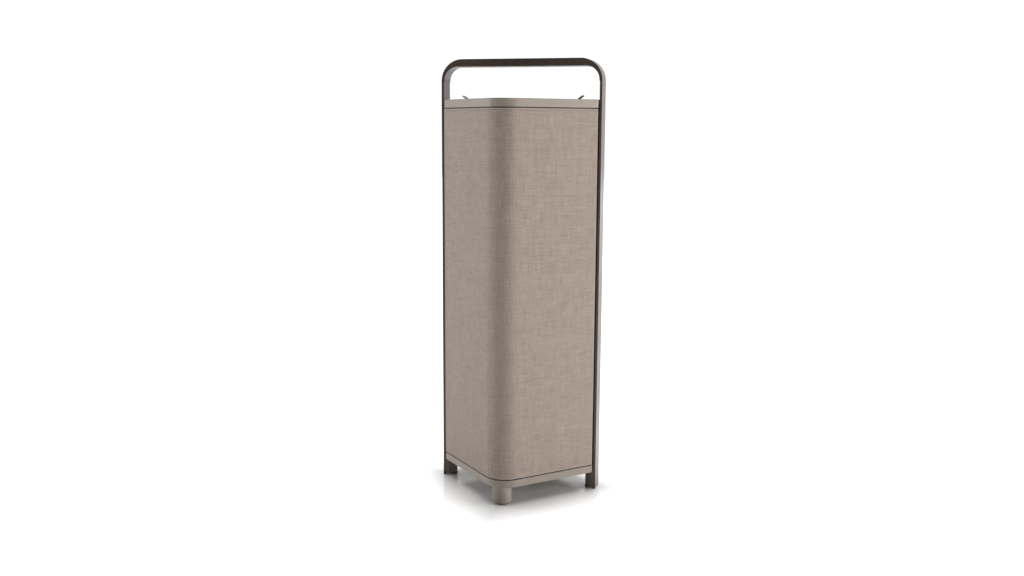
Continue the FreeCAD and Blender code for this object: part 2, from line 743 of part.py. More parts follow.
def fan_deck():
    """The plate between the filter space and the fan, with its inlet hole and upturned ends."""
    inset = dim.mesh_thick + dim.panel_wall + dim.fit_gap
    body = new_body("fan_deck")
    pad(body, sketch_on(body, "XY_Plane", deck_bottom,
                        outlines=[column_plan(inset, rail_inner, round_ends=False)]),
        dim.plate_thick)
    half = dim.rail_depth / 2
    ends = [rectangle(rail_inner - dim.plate_thick, -half, rail_inner, half),
            rectangle(-rail_inner, -half, -rail_inner + dim.plate_thick, half)]
    flange = deck_screw_height() + dim.screw_head_radius - deck_top
    pad(body, sketch_on(body, "XY_Plane", deck_top, outlines=ends), flange)
    lead = (bay_x, bay_y, dim.lead_radius + dim.hole_clearance)
    mouth = (0.0, 0.0, throat_radius + dim.cone_bell)
    pocket(body, sketch_on(body, "XY_Plane", deck_bottom, rings=[mouth, lead]), backwards=True)
    holes = [(dim.screw_spread * end, deck_screw_height(), dim.screw_radius) for end in (-1, 1)]
    pocket(body, sketch_on(body, "YZ_Plane", rings=holes), rail_inner * 2, midplane=True)
    return body


def deck_screws():
    """Screws through the deck's upturned ends into the rails."""
    inner = rail_inner - dim.plate_thick
    length = dim.plate_thick + dim.thread_depth / 2
    shapes = [screw("deck_screw", inner * side, dim.screw_spread * end, deck_screw_height(),
                    "x" if side > 0 else "-x", length)
              for side in (-1, 1) for end in (-1, 1)]
    return group("deck_screws", shapes)


def inlet_cone():
    """The bell mouth that leads the air from the filter into the impeller."""
    low = deck_top
    flange_high = low + dim.cone_wall
    high = low + dim.inlet_cone_height
    outer = throat_radius + dim.cone_wall
    flange = throat_radius + dim.cone_bell + dim.cone_flange
    body = new_body("inlet_cone")
    spin(body, sketch_on(body, "XZ_Plane", outlines=[[
        (throat_radius, low, dim.cone_bell), (flange, low), (flange, flange_high),
        (outer, flange_high, dim.cone_bell - dim.cone_wall), (outer, high),
        (throat_radius, high)]]))
    return body


def impeller():
    """The centrifugal wheel: a shroud ring, a hub plate and blades that lean back."""
    shroud_top = shroud_bottom + dim.impeller_plate
    hub_plate_bottom = hub_plate_top - dim.impeller_plate
    hub_bottom = hub_plate_top - dim.hub_height
    eye = throat_radius + dim.cone_wall + dim.running_gap
    body = new_body("impeller")
    spin(body, sketch_on(body, "XZ_Plane", outlines=[
        rectangle(eye, shroud_bottom, impeller_radius, shroud_top),
        [(dim.shaft_radius, hub_bottom), (dim.hub_radius, hub_bottom),
         (dim.hub_radius, hub_plate_bottom), (impeller_radius, hub_plate_bottom),
         (impeller_radius, hub_plate_top), (dim.shaft_radius, hub_plate_top)]]))
    root = eye + dim.blade_thick
    mid_x, mid_y = (impeller_radius * share for share in BLADE_MIDDLE)
    tip_x, tip_y = (impeller_radius * share for share in BLADE_TIP)
    curve = impeller_radius / 2
    blade = pad(body, sketch_on(body, "XY_Plane", shroud_top, outlines=[[
        (root, 0.0), (mid_x, mid_y, curve), (tip_x, tip_y), (tip_x - dim.blade_thick, tip_y),
        (mid_x - dim.blade_thick, mid_y, curve - dim.blade_thick),
        (root - dim.blade_thick, dim.blade_thick)]]), hub_plate_bottom - shroud_top)
    polar(body, [blade], BLADE_COUNT)
    return body


def motor_shaft():
    """The shaft from under the impeller's hub to the top bearing."""
    low = hub_plate_top - dim.hub_height
    return rod("motor_shaft", dim.shaft_radius, motor_top - dim.cone_wall - low, 0.0, 0.0, low)


def motor_body():
    """The motor's casing, bored for its two bearings and tapped for four screws."""
    bearing_low = motor_bottom + dim.bearing_height
    bearing_high = motor_top - dim.bearing_height
    clear = dim.shaft_radius * BORE_SHARE
    body = new_body("motor_body")
    spin(body, sketch_on(body, "XZ_Plane", outlines=[[
        (dim.bearing_radius, motor_bottom), (dim.motor_radius, motor_bottom, dim.foot_edge_round),
        (dim.motor_radius, motor_top, dim.foot_edge_round), (dim.bearing_radius, motor_top),
        (dim.bearing_radius, bearing_high), (clear, bearing_high), (clear, bearing_low),
        (dim.bearing_radius, bearing_low)]]))
    holes = sketch_on(body, "XY_Plane", motor_top, rings=motor_screw_places())
    pocket(body, holes, dim.thread_depth)
    return body


def motor_screw_places():
    """Circles at the four screws between the spider and the motor."""
    ring_radius = dim.motor_screw_ring
    return [(ring_radius, 0.0, dim.screw_radius), (0.0, ring_radius, dim.screw_radius),
            (-ring_radius, 0.0, dim.screw_radius), (0.0, -ring_radius, dim.screw_radius)]


def motor_bearings():
    """Two ball bearings, drawn as plain rings."""
    inner = dim.shaft_radius + dim.shaft_clearance
    body = new_body("motor_bearings")
    spin(body, sketch_on(body, "XZ_Plane", outlines=[
        rectangle(inner, motor_bottom, dim.bearing_radius, motor_bottom + dim.bearing_height),
        rectangle(inner, motor_top - dim.bearing_height, dim.bearing_radius, motor_top)]))
    return body


def arm_places():
    """Where the ends of the spider's four arms sit on the housing's ledge."""
    return [(ledge_ring, 0.0), (0.0, ledge_ring), (-ledge_ring, 0.0), (0.0, -ledge_ring)]


def motor_spider():
    """The four-armed carrier that hangs the motor inside the housing."""
    body = new_body("motor_spider")
    pad(body, sketch_on(body, "XY_Plane", motor_top,
                        rings=[(0.0, 0.0, dim.motor_screw_ring + dim.grommet_radius)]),
        dim.spider_thick)
    half = dim.spider_arm / 2
    reach = housing_inner - dim.fit_gap
    for corners in (rectangle(-reach, -half, reach, half), rectangle(-half, -reach, half, reach)):
        arm = sketch_on(body, "XY_Plane", motor_top, outlines=[corners])
        pad(body, arm, dim.spider_thick)
    clear = dim.screw_radius + dim.hole_clearance
    holes = [(x, y, clear) for x, y in arm_places()]
    holes += [(x, y, clear) for x, y, _ in motor_screw_places()]
    pocket(body, sketch_on(body, "XY_Plane", motor_top, rings=holes), backwards=True)
    return body


def motor_grommets():
    """Rubber bushes between the spider's arms and the ledge."""
    shapes = []
    for number, (x, y) in enumerate(arm_places()):
        name = "grommet_%d" % number
        outer = rod(name + "_outer", dim.grommet_radius - dim.fit_gap, dim.grommet_height,
                    x, y, ledge_top)
        inner = rod(name + "_bore", dim.screw_radius + dim.hole_clearance, dim.grommet_height,
                    x, y, ledge_top)
        shapes.append(cut_from(name, outer, [inner]))
    return group("motor_grommets", shapes)


def motor_screws():
    """Screws through the spider into the motor, and through its arms into the ledge."""
    shapes = [screw("motor_screw", x, y, spider_top, "-z", dim.spider_thick + dim.thread_depth)
              for x, y, _ in motor_screw_places()]
    length = dim.spider_thick + dim.grommet_height + dim.plate_thick
    shapes += [screw("arm_screw", x, y, spider_top, "-z", length) for x, y in arm_places()]
    return group("motor_screws", shapes)


def fan_housing():
    """The round duct around the fan, with a flange on the deck and an inner ledge."""
    flange = housing_radius + dim.plate_thick
    ledge_inner = housing_inner - dim.spider_ledge
    ledge_bottom = ledge_top - dim.plate_thick
    body = new_body("fan_housing")
    spin(body, sketch_on(body, "XZ_Plane", outlines=[[
        (housing_inner, deck_top), (flange, deck_top), (flange, deck_top + dim.plate_thick),
        (housing_radius, deck_top + dim.plate_thick), (housing_radius, housing_top),
        (housing_inner, housing_top), (housing_inner, ledge_top), (ledge_inner, ledge_top),
        (ledge_inner, ledge_bottom), (housing_inner, ledge_bottom)]]))
    holes = [(x, y, dim.screw_radius) for x, y in arm_places()]
    pocket(body, sketch_on(body, "XY_Plane", ledge_top, rings=holes), dim.plate_thick)
    return body


def outlet_stator():
    """Straightening vanes between the fan and the outlet duct."""
    high = housing_top - dim.stator_drop
    low = high - dim.stator_height
    wall = dim.blade_thick
    hub_inner = dim.stator_hub - wall
    outer_inner = housing_inner - wall
    body = new_body("outlet_stator")
    spin(body, sketch_on(body, "XZ_Plane", outlines=[
        rectangle(hub_inner, low, dim.stator_hub, high),
        rectangle(outer_inner, low, housing_inner, high)]))
    half = wall / 2
    vane = pad(body, sketch_on(body, "XY_Plane", low, outlines=[
        rectangle(dim.stator_hub - half, -half, outer_inner + half, half)]), dim.stator_height)
    polar(body, [vane], VANE_COUNT)
    return body


# ---------------------------------------------------------------- cap, grille and latches

def top_cap():
    """The moulded cap with its recessed top plate, outlet hole, control holes and latch lugs."""
    body = new_body("top_cap")
    pad(body, sketch_on(body, "XY_Plane", cap_bottom, outlines=[column_plan(0.0, panel_end)]),
        dim.cap_height)
    soften(body, dim.edge_round, lambda edge: lies_at(edge, number_of(cap_top)))
    inside = column_plan(dim.shell_wall, panel_end - dim.shell_wall, round_ends=False)
    pocket(body, sketch_on(body, "XY_Plane", cap_top, outlines=[inside]), dim.top_recess)
    pocket(body, sketch_on(body, "XY_Plane", cap_bottom, outlines=[inside]),
           plate_bottom - cap_bottom, backwards=True)
    pad(body, sketch_on(body, "XY_Plane", cap_bottom, rings=column_screws(dim.boss_radius)),
        plate_bottom - cap_bottom)
    pad(body, sketch_on(body, "XY_Plane", board_top, rings=board_screw_places(dim.board_boss)),
        dim.board_drop)
    latch_seats(body)
    plate_hole(body, 0.0, 0.0, grille_radius)
    plate_hole(body, dim.control_offset, -control_row, dim.knob_shaft_radius + dim.fit_gap)
    plate_hole(body, -dim.control_offset, -control_row, dim.button_radius + dim.fit_gap)
    plate_hole(body, 0.0, -control_row, dim.lens_radius)
    screw_hole = dim.screw_radius + dim.hole_clearance
    pocket(body, sketch_on(body, "XY_Plane", cap_bottom, rings=column_screws(screw_hole)),
           backwards=True)
    pocket(body, sketch_on(body, "XY_Plane", board_top,
                           rings=board_screw_places(dim.screw_radius / 2)),
           dim.board_drop, backwards=True)
    return body


def latch_seats(body):
    """The slots for the latches in the top plate, and the two lugs that carry each pin."""
    half = dim.latch_width / 2 + dim.latch_side_gap
    lug = dim.lug_height / 2 + dim.edge_round
    slots = []
    lugs = []
    for side in (-1, 1):
        middle = latch_offset * side
        near = middle - dim.latch_hub - dim.latch_leaf
        far = middle + dim.latch_hub + dim.latch_leaf
        slots.append(rectangle(near, -half, far, half))
        for end in (-1, 1):
            first = half * end
            last = (half + dim.lug_thick) * end
            low, high = (first, last) if end > 0 else (last, first)
            lugs.append(rectangle(middle - lug, low, middle + lug, high))
    pad(body, sketch_on(body, "XY_Plane", plate_top, outlines=lugs), dim.lug_height)
    pocket(body, sketch_on(body, "XY_Plane", plate_bottom, outlines=slots), dim.plate_thick,
           backwards=True)
    pin_holes = [(latch_offset * side, pivot_height, dim.latch_pin_radius) for side in (-1, 1)]
    pocket(body, sketch_on(body, "XZ_Plane", rings=pin_holes),
           dim.latch_width + (dim.latch_side_gap + dim.lug_thick) * 2, midplane=True)


def board_screw_places(radius):
    """Circles at the four corners where the control board hangs from the cap."""
    inset = dim.screw_head_radius + dim.screw_radius / 2
    reach_x = dim.board_width / 2 - inset
    reach_y = dim.board_depth / 2 - inset
    return [(reach_x * side, -control_row + reach_y * end, radius)
            for side in (-1, 1) for end in (-1, 1)]


def outlet_grille():
    """The round outlet grille: a flanged disc with two rings of radial slots."""
    radius = grille_radius - dim.fit_gap
    flange = grille_radius + dim.grille_rim
    low = plate_top + dim.grille_rim_thick - dim.grille_thick
    high = plate_top + dim.grille_rim_thick
    body = new_body("outlet_grille")
    spin(body, sketch_on(body, "XZ_Plane", outlines=[[
        (0.0, low), (radius, low), (radius, plate_top), (flange, plate_top),
        (flange, high, dim.edge_round), (0.0, high)]]))
    middle = (dim.grille_hub + radius) / 2
    narrow = dim.slot_width / 2
    for start, stop, count in ((dim.grille_hub, middle - dim.slot_rib, INNER_SLOT_COUNT),
                               (middle, radius - dim.slot_rib, OUTER_SLOT_COUNT)):
        slot = pocket(body, sketch_on(body, "XY_Plane", low, outlines=[
            rectangle(start, -narrow, stop, narrow)]), dim.grille_thick, backwards=True)
        polar(body, [slot], count)
    return body


def latch(label, side):
    """A spring latch: a hook over the grille's rim and a flared finger leaf."""
    hook_low = plate_top + dim.grille_rim_thick + dim.fit_gap - pivot_height
    hook_high = hook_low + dim.latch_leaf
    neck = dim.latch_rise / 3 + dim.latch_leaf / 2
    body = new_body(label)
    pad(body, sketch_on(body, "XZ_Plane", rings=[(0.0, 0.0, dim.latch_hub)]),
        dim.latch_width, midplane=True)
    pad(body, sketch_on(body, "XZ_Plane", outlines=[[
        (-dim.latch_hook, hook_low), (dim.latch_leaf, hook_low),
        (dim.latch_hub, neck, dim.latch_rise / 2),
        (dim.latch_flare, dim.latch_rise - dim.latch_leaf / 2),
        (dim.latch_flare - dim.latch_leaf / 2, dim.latch_rise),
        (dim.latch_leaf / 2, neck + dim.latch_leaf, dim.latch_rise / 3),
        (0.0, hook_high), (-dim.latch_hook, hook_high)]]), dim.latch_width, midplane=True)
    bore = dim.latch_pin_radius + dim.shaft_clearance
    pocket(body, sketch_on(body, "XZ_Plane", rings=[(0.0, 0.0, bore)]), dim.latch_width,
           midplane=True)
    turn = Rotation() if side > 0 else Rotation(Vector(0, 0, 1), 180)
    return at(body, x=latch_offset * side, z=pivot_height, rotation=turn)


def latch_pins():
    """The two pins that the latches turn on."""
    length = dim.latch_width + (dim.latch_side_gap + dim.lug_thick) * 2
    shapes = [rod("pin_" + name, dim.latch_pin_radius, length, latch_offset * side,
                  -length / 2, pivot_height, "y") for side, name in SIDES]
    return group("latch_pins", shapes)


# ---------------------------------------------------------------- controls

def speed_knob():
    """The fan speed knob, with shallow finger flutes and a bore for its shaft."""
    low = plate_top + dim.fit_gap
    high = low + dim.knob_height
    bore_top = low + dim.knob_height / 2
    body = new_body("speed_knob")
    spin(body, sketch_on(body, "XZ_Plane", outlines=[[
        (dim.knob_shaft_radius, low), (dim.knob_radius, low),
        (dim.knob_radius, high, dim.edge_round), (0.0, high), (0.0, bore_top),
        (dim.knob_shaft_radius, bore_top)]]))
    flute = pocket(body, sketch_on(body, "XY_Plane", low, rings=[
        (dim.knob_radius + dim.edge_round, 0.0, dim.flute_radius)]),
        dim.knob_height, backwards=True)
    polar(body, [flute], FLUTE_COUNT)
    return at(body, x=dim.control_offset, y=-control_row)


def knob_shaft():
    """The shaft of the speed encoder, which the knob is pressed onto."""
    low = board_top + dim.fit_gap
    high = plate_top + dim.fit_gap + dim.knob_height / 2
    return rod("knob_shaft", dim.knob_shaft_radius, high - low, dim.control_offset,
               -control_row, low)


def speed_encoder():
    """The block on the control board that the knob's shaft turns in."""
    half = dim.switch_width / 2
    base = block("encoder_block", dim.switch_width, dim.switch_width, dim.switch_height,
                 dim.control_offset - half, -control_row - half, board_top)
    bore = rod("encoder_bore", dim.knob_shaft_radius + dim.shaft_clearance, dim.switch_height,
               dim.control_offset, -control_row, board_top)
    return cut_from("speed_encoder", base, [bore])


def power_button():
    """The round power button, kept in by a flange under the top plate."""
    flange_top = plate_bottom - dim.hole_clearance
    body = new_body("power_button")
    flange = dim.button_radius + dim.button_flange
    spin(body, sketch_on(body, "XZ_Plane", outlines=[[
        (0.0, flange_top - dim.button_flange), (flange, flange_top - dim.button_flange),
        (flange, flange_top), (dim.button_radius, flange_top),
        (dim.button_radius, plate_top + dim.button_stand, dim.edge_round),
        (0.0, plate_top + dim.button_stand)]]))
    return at(body, x=-dim.control_offset, y=-control_row)


def power_switch():
    """The push switch on the control board under the power button."""
    half = dim.switch_width / 2
    flange_bottom = plate_bottom - dim.hole_clearance - dim.button_flange
    high = flange_bottom - dim.button_travel - dim.hole_clearance
    return block("power_switch", dim.switch_width, dim.switch_width, high - board_top,
                 -dim.control_offset - half, -control_row - half, board_top)


def control_board():
    """The circuit board under the top plate, with holes for its screws."""
    base = block("board_plate", dim.board_width, dim.board_depth, dim.board_thick,
                 -dim.board_width / 2, -control_row - dim.board_depth / 2,
                 board_top - dim.board_thick)
    holes = [rod("board_hole", dim.screw_radius / 2 + dim.hole_clearance, dim.board_thick, x, y,
                 board_top - dim.board_thick)
             for x, y, _ in board_screw_places(dim.screw_radius)]
    return cut_from("control_board", base, holes)


def board_screws():
    """Small screws from under the control board into the cap."""
    shapes = []
    low = board_top - dim.board_thick
    for x, y, _ in board_screw_places(dim.screw_radius):
        shank = rod("board_shank", dim.screw_radius / 2, dim.board_thick + dim.thread_depth / 2,
                    x, y, low)
        head = rod("board_head", dim.screw_radius, dim.board_thick, x, y, low, "-z")
        shapes.append(joined("board_screw", [shank, head]))
    return group("board_screws", shapes)


def status_lens():
    """The light pipe of the status lamp in the top plate."""
    low = plate_bottom - dim.plate_thick
    return rod("status_lens", dim.lens_radius, plate_top + dim.fit_gap - low, 0.0,
               -control_row, low)


# ---------------------------------------------------------------- electrics

def air_sensor():
    """The dust sensor on the deck behind the front corner, with its round air hole."""
    base = block("sensor_case", dim.sensor_width, dim.sensor_depth, dim.sensor_height,
                 -dim.sensor_width / 2, -sensor_row - dim.sensor_depth / 2, deck_top)
    hole = rod("sensor_hole", dim.lens_radius * 2, dim.sensor_depth / 2, 0.0,
               -sensor_row - dim.sensor_depth / 2, deck_top + dim.sensor_height / 2, "y")
    return cut_from("air_sensor", base, [hole])


def supply_case():
    """The closed case of the power supply on the deck beside the fan."""
    wall = dim.supply_wall
    half_x = dim.supply_width / 2
    half_y = dim.supply_depth / 2
    body = new_body("supply_case")
    pad(body, sketch_on(body, "XY_Plane", outlines=[rectangle(-half_x, -half_y, half_x, half_y)]),
        dim.supply_height)
    hollow = rectangle(-half_x + wall, -half_y + wall, half_x - wall, half_y - wall)
    pocket(body, sketch_on(body, "XY_Plane", wall, outlines=[hollow]),
           dim.supply_height - wall * 2, backwards=True)
    lead = dim.lead_radius + dim.hole_clearance
    pocket(body, sketch_on(body, "XY_Plane", rings=[(0.0, 0.0, lead)]), wall, backwards=True)
    return in_bay(body, deck_top)


def supply_board():
    """The circuit board inside the power supply's case."""
    wall = dim.supply_wall
    half_x = dim.supply_width / 2 - wall
    outer_y = dim.supply_depth / 2 - wall * 2
    body = new_body("supply_board")
    pad(body, sketch_on(body, "XY_Plane", wall, outlines=[
        rectangle(-half_x, outer_y - dim.board_thick, half_x, outer_y)]),
        dim.supply_height - wall * 2)
    return in_bay(body, deck_top)


def inlet_socket():
    """The mains inlet in the tray's floor, open downwards, with its flange under the floor."""
    half_x = dim.socket_width / 2
    half_y = dim.socket_depth / 2
    lip = dim.socket_flange
    flange_low = dim.foot_height - dim.socket_flange_thick
    body = new_body("inlet_socket")
    pad(body, sketch_on(body, "XY_Plane", flange_low, outlines=[
        rectangle(-half_x, -half_y, half_x, half_y)]), dim.socket_height)
    pad(body, sketch_on(body, "XY_Plane", flange_low, outlines=[
        rectangle(-half_x - lip, -half_y - lip, half_x + lip, half_y + lip)]),
        dim.socket_flange_thick)
    pocket(body, sketch_on(body, "XY_Plane", flange_low, outlines=[
        rectangle(-half_x + lip, -half_y + lip, half_x - lip, half_y - lip)]),
        dim.socket_mouth, backwards=True)
    return in_bay(body)


def inlet_pins():
    """The two contact pins in the mains inlet."""
    ceiling = dim.foot_height - dim.socket_flange_thick + dim.socket_mouth
    half = dim.pin_spacing / 2
    body = new_body("inlet_pins")
    pad(body, sketch_on(body, "XY_Plane", ceiling - dim.pin_length,
                        rings=[(-half, 0.0, dim.pin_radius), (half, 0.0, dim.pin_radius)]),
        dim.pin_length)
    return in_bay(body)


def mains_lead():
    """The inner lead that climbs from the inlet to the power supply."""
    low = dim.foot_height - dim.socket_flange_thick + dim.socket_height
    high = deck_top + dim.supply_wall * 2
    return rod("mains_lead", dim.lead_radius, high - low, bay_x, bay_y, low)


# ---------------------------------------------------------------- mesh panels

def facing(side):
    """The turn that the rear copy of a front piece takes."""
    return Rotation() if side < 0 else Rotation(Vector(0, 0, 1), 180)


def panel_frame(label, side):
    """The stiff V-shaped frame of a panel, with a grid of windows in both faces.

    It stands higher and lower than the mesh, so that it closes the seams from behind.
    """
    body = new_body(label)
    low_edge = band_top + dim.fit_gap
    pad(body, sketch_on(body, "XY_Plane", low_edge,
                        outlines=[front_wall_plan(dim.mesh_thick, dim.panel_wall)]),
        cap_bottom - dim.fit_gap - low_edge)
    near = face_distance - dim.nose_radius - dim.window_bar
    far = panel_end * ROOT_TWO - face_distance - dim.window_bar * 2
    width = (near + far - dim.window_bar * (WINDOW_COLUMNS - 1)) / WINDOW_COLUMNS
    low = panel_bottom + dim.window_bar * 2
    tall = (panel_top - low - dim.window_bar) / WINDOW_ROWS
    for turn, way in ((45, 1), (-45, -1)):
        windows = []
        for column in range(WINDOW_COLUMNS):
            start = -near + (width + dim.window_bar) * column
            for row in range(WINDOW_ROWS):
                bottom = low + tall * row
                left, right = (start, start + width) if way > 0 else (-start - width, -start)
                windows.append(rectangle(left, bottom, right, bottom + tall - dim.window_bar))
        pocket(body, sketch_on(body, "XZ_Plane", turn=turn, outlines=windows),
               half_diagonal * 2, midplane=True)
    peg_holes = [(peg_column * end, height, dim.peg_radius)
                 for end in (-1, 1) for height in peg_heights]
    pocket(body, sketch_on(body, "XZ_Plane", peg_seat, rings=peg_holes), peg_seat)
    return at(body, rotation=facing(side))


def mesh_skin(label, side):
    """The woven mesh stretched over a panel's frame, as a thin closed wall."""
    body = new_body(label)
    pad(body, sketch_on(body, "XY_Plane", panel_bottom,
                        outlines=[front_wall_plan(0.0, dim.mesh_thick)]),
        panel_top - panel_bottom)
    return at(body, rotation=facing(side))


def panel_pegs(label, side):
    """The pegs on a panel that push into the rails' sockets."""
    length = peg_seat - dim.rail_depth / 2 + dim.peg_reach
    way = "y" if side < 0 else "-y"
    shapes = []
    for end in (-1, 1):
        for height in peg_heights:
            shapes.append(rod(label + "_peg", dim.peg_radius, length, peg_column * end,
                              peg_seat * side, height, way))
    return group(label, shapes)


# ---------------------------------------------------------------- the whole object

def build_all():
    """Every sub-part, in the order in which it would be put on the bench."""
    outer_seal = core_radius + dim.filter_depth
    carbon_outer = core_radius
    carbon_inner = core_radius - dim.carbon_thick
    return [
        hoop_frame(), handle_grip(), grip_screws(),
        base_tray(), round_foot("front_foot", -1), round_foot("rear_foot", 1),
        side_foot("left_foot", -1), side_foot("right_foot", 1), foot_pads(), foot_screws(),
        rail("left_rail", -1), rail("right_rail", 1), column_bolts(),
        column_end_screws("base_screws", dim.foot_height, "z", dim.band_height),
        filter_gaskets(),
        filter_end_cap("filter_bottom_cap", filter_bottom, pleats_bottom, filter_bottom,
                       pleats_bottom + dim.filter_cap_thick, 0.0),
        filter_end_cap("filter_top_ring", pleats_top, filter_top,
                       pleats_top - dim.filter_cap_thick, filter_top, carbon_inner),
        turned_ring("pleated_filter", carbon_outer, outer_seal - dim.sleeve_thick,
                    pleats_bottom, pleats_top),
        turned_ring("carbon_sleeve", carbon_inner, carbon_outer, pleats_bottom, pleats_top),
        turned_ring("prefilter_sleeve", outer_seal - dim.sleeve_thick, outer_seal,
                    pleats_bottom, pleats_top),
        fan_deck(), deck_screws(), inlet_cone(), impeller(), motor_shaft(), motor_body(),
        motor_bearings(), motor_spider(), motor_grommets(), motor_screws(), fan_housing(),
        outlet_stator(),
        turned_ring("outlet_duct", housing_inner, housing_radius, housing_top, plate_bottom),
        top_cap(), column_end_screws("cap_screws", plate_top, "-z", plate_top - cap_bottom),
        outlet_grille(), latch("left_latch", -1), latch("right_latch", 1), latch_pins(),
        speed_knob(), knob_shaft(), speed_encoder(), power_button(), power_switch(),
        control_board(), board_screws(), status_lens(), air_sensor(), supply_case(),
        supply_board(), inlet_socket(), inlet_pins(), mains_lead(),
        panel_frame("front_panel_frame", -1), mesh_skin("front_mesh", -1),
        panel_pegs("front_panel_pegs", -1), panel_frame("rear_panel_frame", 1),
        mesh_skin("rear_mesh", 1), panel_pegs("rear_panel_pegs", 1),
    ]


def write_parts(pieces):
    """Check every object and every sub-part, then write one STEP file for each sub-part."""
    doc.recompute()
    broken = [item.Name for item in doc.Objects
              if "Invalid" in item.State or "Error" in item.State]
    if broken:
        raise ValueError("failed objects: " + ", ".join(broken))
    unsound = [piece.Label for piece in pieces if piece.Shape.isNull()
               or not piece.Shape.isValid() or not piece.Shape.Solids]
    if unsound:
        raise ValueError("no sound solid in " + ", ".join(unsound))
    os.makedirs("parts", exist_ok=True)
    for piece in pieces:
        piece.Shape.exportStep("parts/%s.step" % piece.Label)


write_parts(build_all())
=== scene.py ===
import json
import math

import bmesh
import bpy
from mathutils import Euler, Matrix, Vector


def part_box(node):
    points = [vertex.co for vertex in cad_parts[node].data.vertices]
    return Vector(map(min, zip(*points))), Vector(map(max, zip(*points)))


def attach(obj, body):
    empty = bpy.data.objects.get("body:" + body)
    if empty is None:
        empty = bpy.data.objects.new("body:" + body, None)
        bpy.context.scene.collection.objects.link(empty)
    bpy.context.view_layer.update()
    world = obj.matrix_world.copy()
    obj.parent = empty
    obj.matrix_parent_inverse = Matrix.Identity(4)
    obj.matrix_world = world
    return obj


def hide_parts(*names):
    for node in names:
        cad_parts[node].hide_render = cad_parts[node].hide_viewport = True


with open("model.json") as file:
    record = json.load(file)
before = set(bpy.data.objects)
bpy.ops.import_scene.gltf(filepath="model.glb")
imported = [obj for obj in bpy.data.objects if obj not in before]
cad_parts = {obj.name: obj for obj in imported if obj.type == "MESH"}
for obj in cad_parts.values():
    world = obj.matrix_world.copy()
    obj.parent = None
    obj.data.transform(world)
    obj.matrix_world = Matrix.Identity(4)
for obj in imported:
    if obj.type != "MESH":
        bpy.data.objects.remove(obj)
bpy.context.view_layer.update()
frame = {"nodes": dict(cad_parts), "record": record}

MM = 0.001


# ---------------------------------------------------------------- colours and material nodes

def linear(hex_colour):
    """An sRGB hex colour as the linear colour that a shader takes."""
    values = [int(hex_colour[index:index + 2], 16) / 255 for index in (1, 3, 5)]
    bent = [v / 12.92 if v <= 0.04045 else ((v + 0.055) / 1.055) ** 2.4 for v in values]
    return (*bent, 1.0)


def add_node(tree, kind, settings=None, **links):
    """Add one node. settings are attributes of the node or values of its inputs; links feed its inputs."""
    node = tree.nodes.new(kind)
    for name, value in (settings or {}).items():
        if hasattr(node, name):
            setattr(node, name, value)
        else:
            node.inputs[name.replace("_", " ")].default_value = value
    for name, source in links.items():
        socket = node.inputs[int(name[1:])] if name[1:].isdigit() else node.inputs[name.replace("_", " ")]
        tree.links.new(source, socket)
    return node


def new_material(name, base, roughness, metallic=0.0, ior=1.45, **more):
    """A material with one Principled shader, and the tree that builds on it."""
    material = bpy.data.materials.new(name)
    material.use_nodes = True
    tree = material.node_tree
    shader = tree.nodes["Principled BSDF"]
    shader.inputs["Base Color"].default_value = linear(base)
    shader.inputs["Roughness"].default_value = roughness
    shader.inputs["Metallic"].default_value = metallic
    if not metallic:
        shader.inputs["IOR"].default_value = ior
    for label, value in more.items():
        shader.inputs[label.replace("_", " ")].default_value = value
    return material, tree, shader


def object_place(tree):
    """The Object coordinates of the surface, in metres."""
    return add_node(tree, "ShaderNodeTexCoord").outputs["Object"]


def noise(tree, place, size_mm, detail=3.0, distortion=0.0):
    """Noise whose blotches are about size_mm across."""
    node = add_node(tree, "ShaderNodeTexNoise",
                    {"Scale": 1 / (size_mm * MM), "Detail": detail, "Distortion": distortion},
                    Vector=place)
    return node.outputs["Fac"]


def blend_colours(tree, factor, first, second):
    """A colour between two hex colours, by a 0 to 1 factor."""
    ramp = add_node(tree, "ShaderNodeValToRGB", None, Fac=factor)
    ramp.color_ramp.elements[0].color = linear(first)
    ramp.color_ramp.elements[1].color = linear(second)
    return ramp.outputs["Color"]


def spread(tree, value, low, high, to_low, to_high):
    """Map a value from one range to another."""
    return add_node(tree, "ShaderNodeMapRange",
                    {"From_Min": low, "From_Max": high, "To_Min": to_low, "To_Max": to_high},
                    Value=value).outputs["Result"]


def arithmetic(tree, operation, first, second=0.0):
    """One sum on a value, or on two; the second may be a plain number."""
    node = add_node(tree, "ShaderNodeMath", {"operation": operation})
    for socket, value in zip(node.inputs, (first, second)):
        if isinstance(value, (int, float)):
            socket.default_value = value
        else:
            tree.links.new(value, socket)
    return node.outputs["Value"]


def raise_surface(tree, shader, height, depth_mm, strength=1.0):
    """Bump from a 0 to 1 height that stands depth_mm proud."""
    bump = add_node(tree, "ShaderNodeBump", {"Distance": depth_mm * MM, "Strength": strength},
                    Height=height)
    tree.links.new(bump.outputs["Normal"], shader.inputs["Normal"])


def moulded(name, dark, light, roughness, grain_mm=0.9, depth_mm=0.05, ior=1.47):
    """Injection-moulded plastic: fine spark-eroded grain, a slight mottle and uneven gloss."""
    material, tree, shader = new_material(name, light, roughness, ior=ior)
    place = object_place(tree)
    mottle = noise(tree, place, 45, 2.0)
    tree.links.new(blend_colours(tree, mottle, dark, light), shader.inputs["Base Color"])
    grain = noise(tree, place, grain_mm, 2.0)
    raise_surface(tree, shader, grain, depth_mm)
    gloss = spread(tree, noise(tree, place, 12, 3.0), 0.3, 0.7, roughness - 0.05, roughness + 0.05)
    tree.links.new(gloss, shader.inputs["Roughness"])
    return material


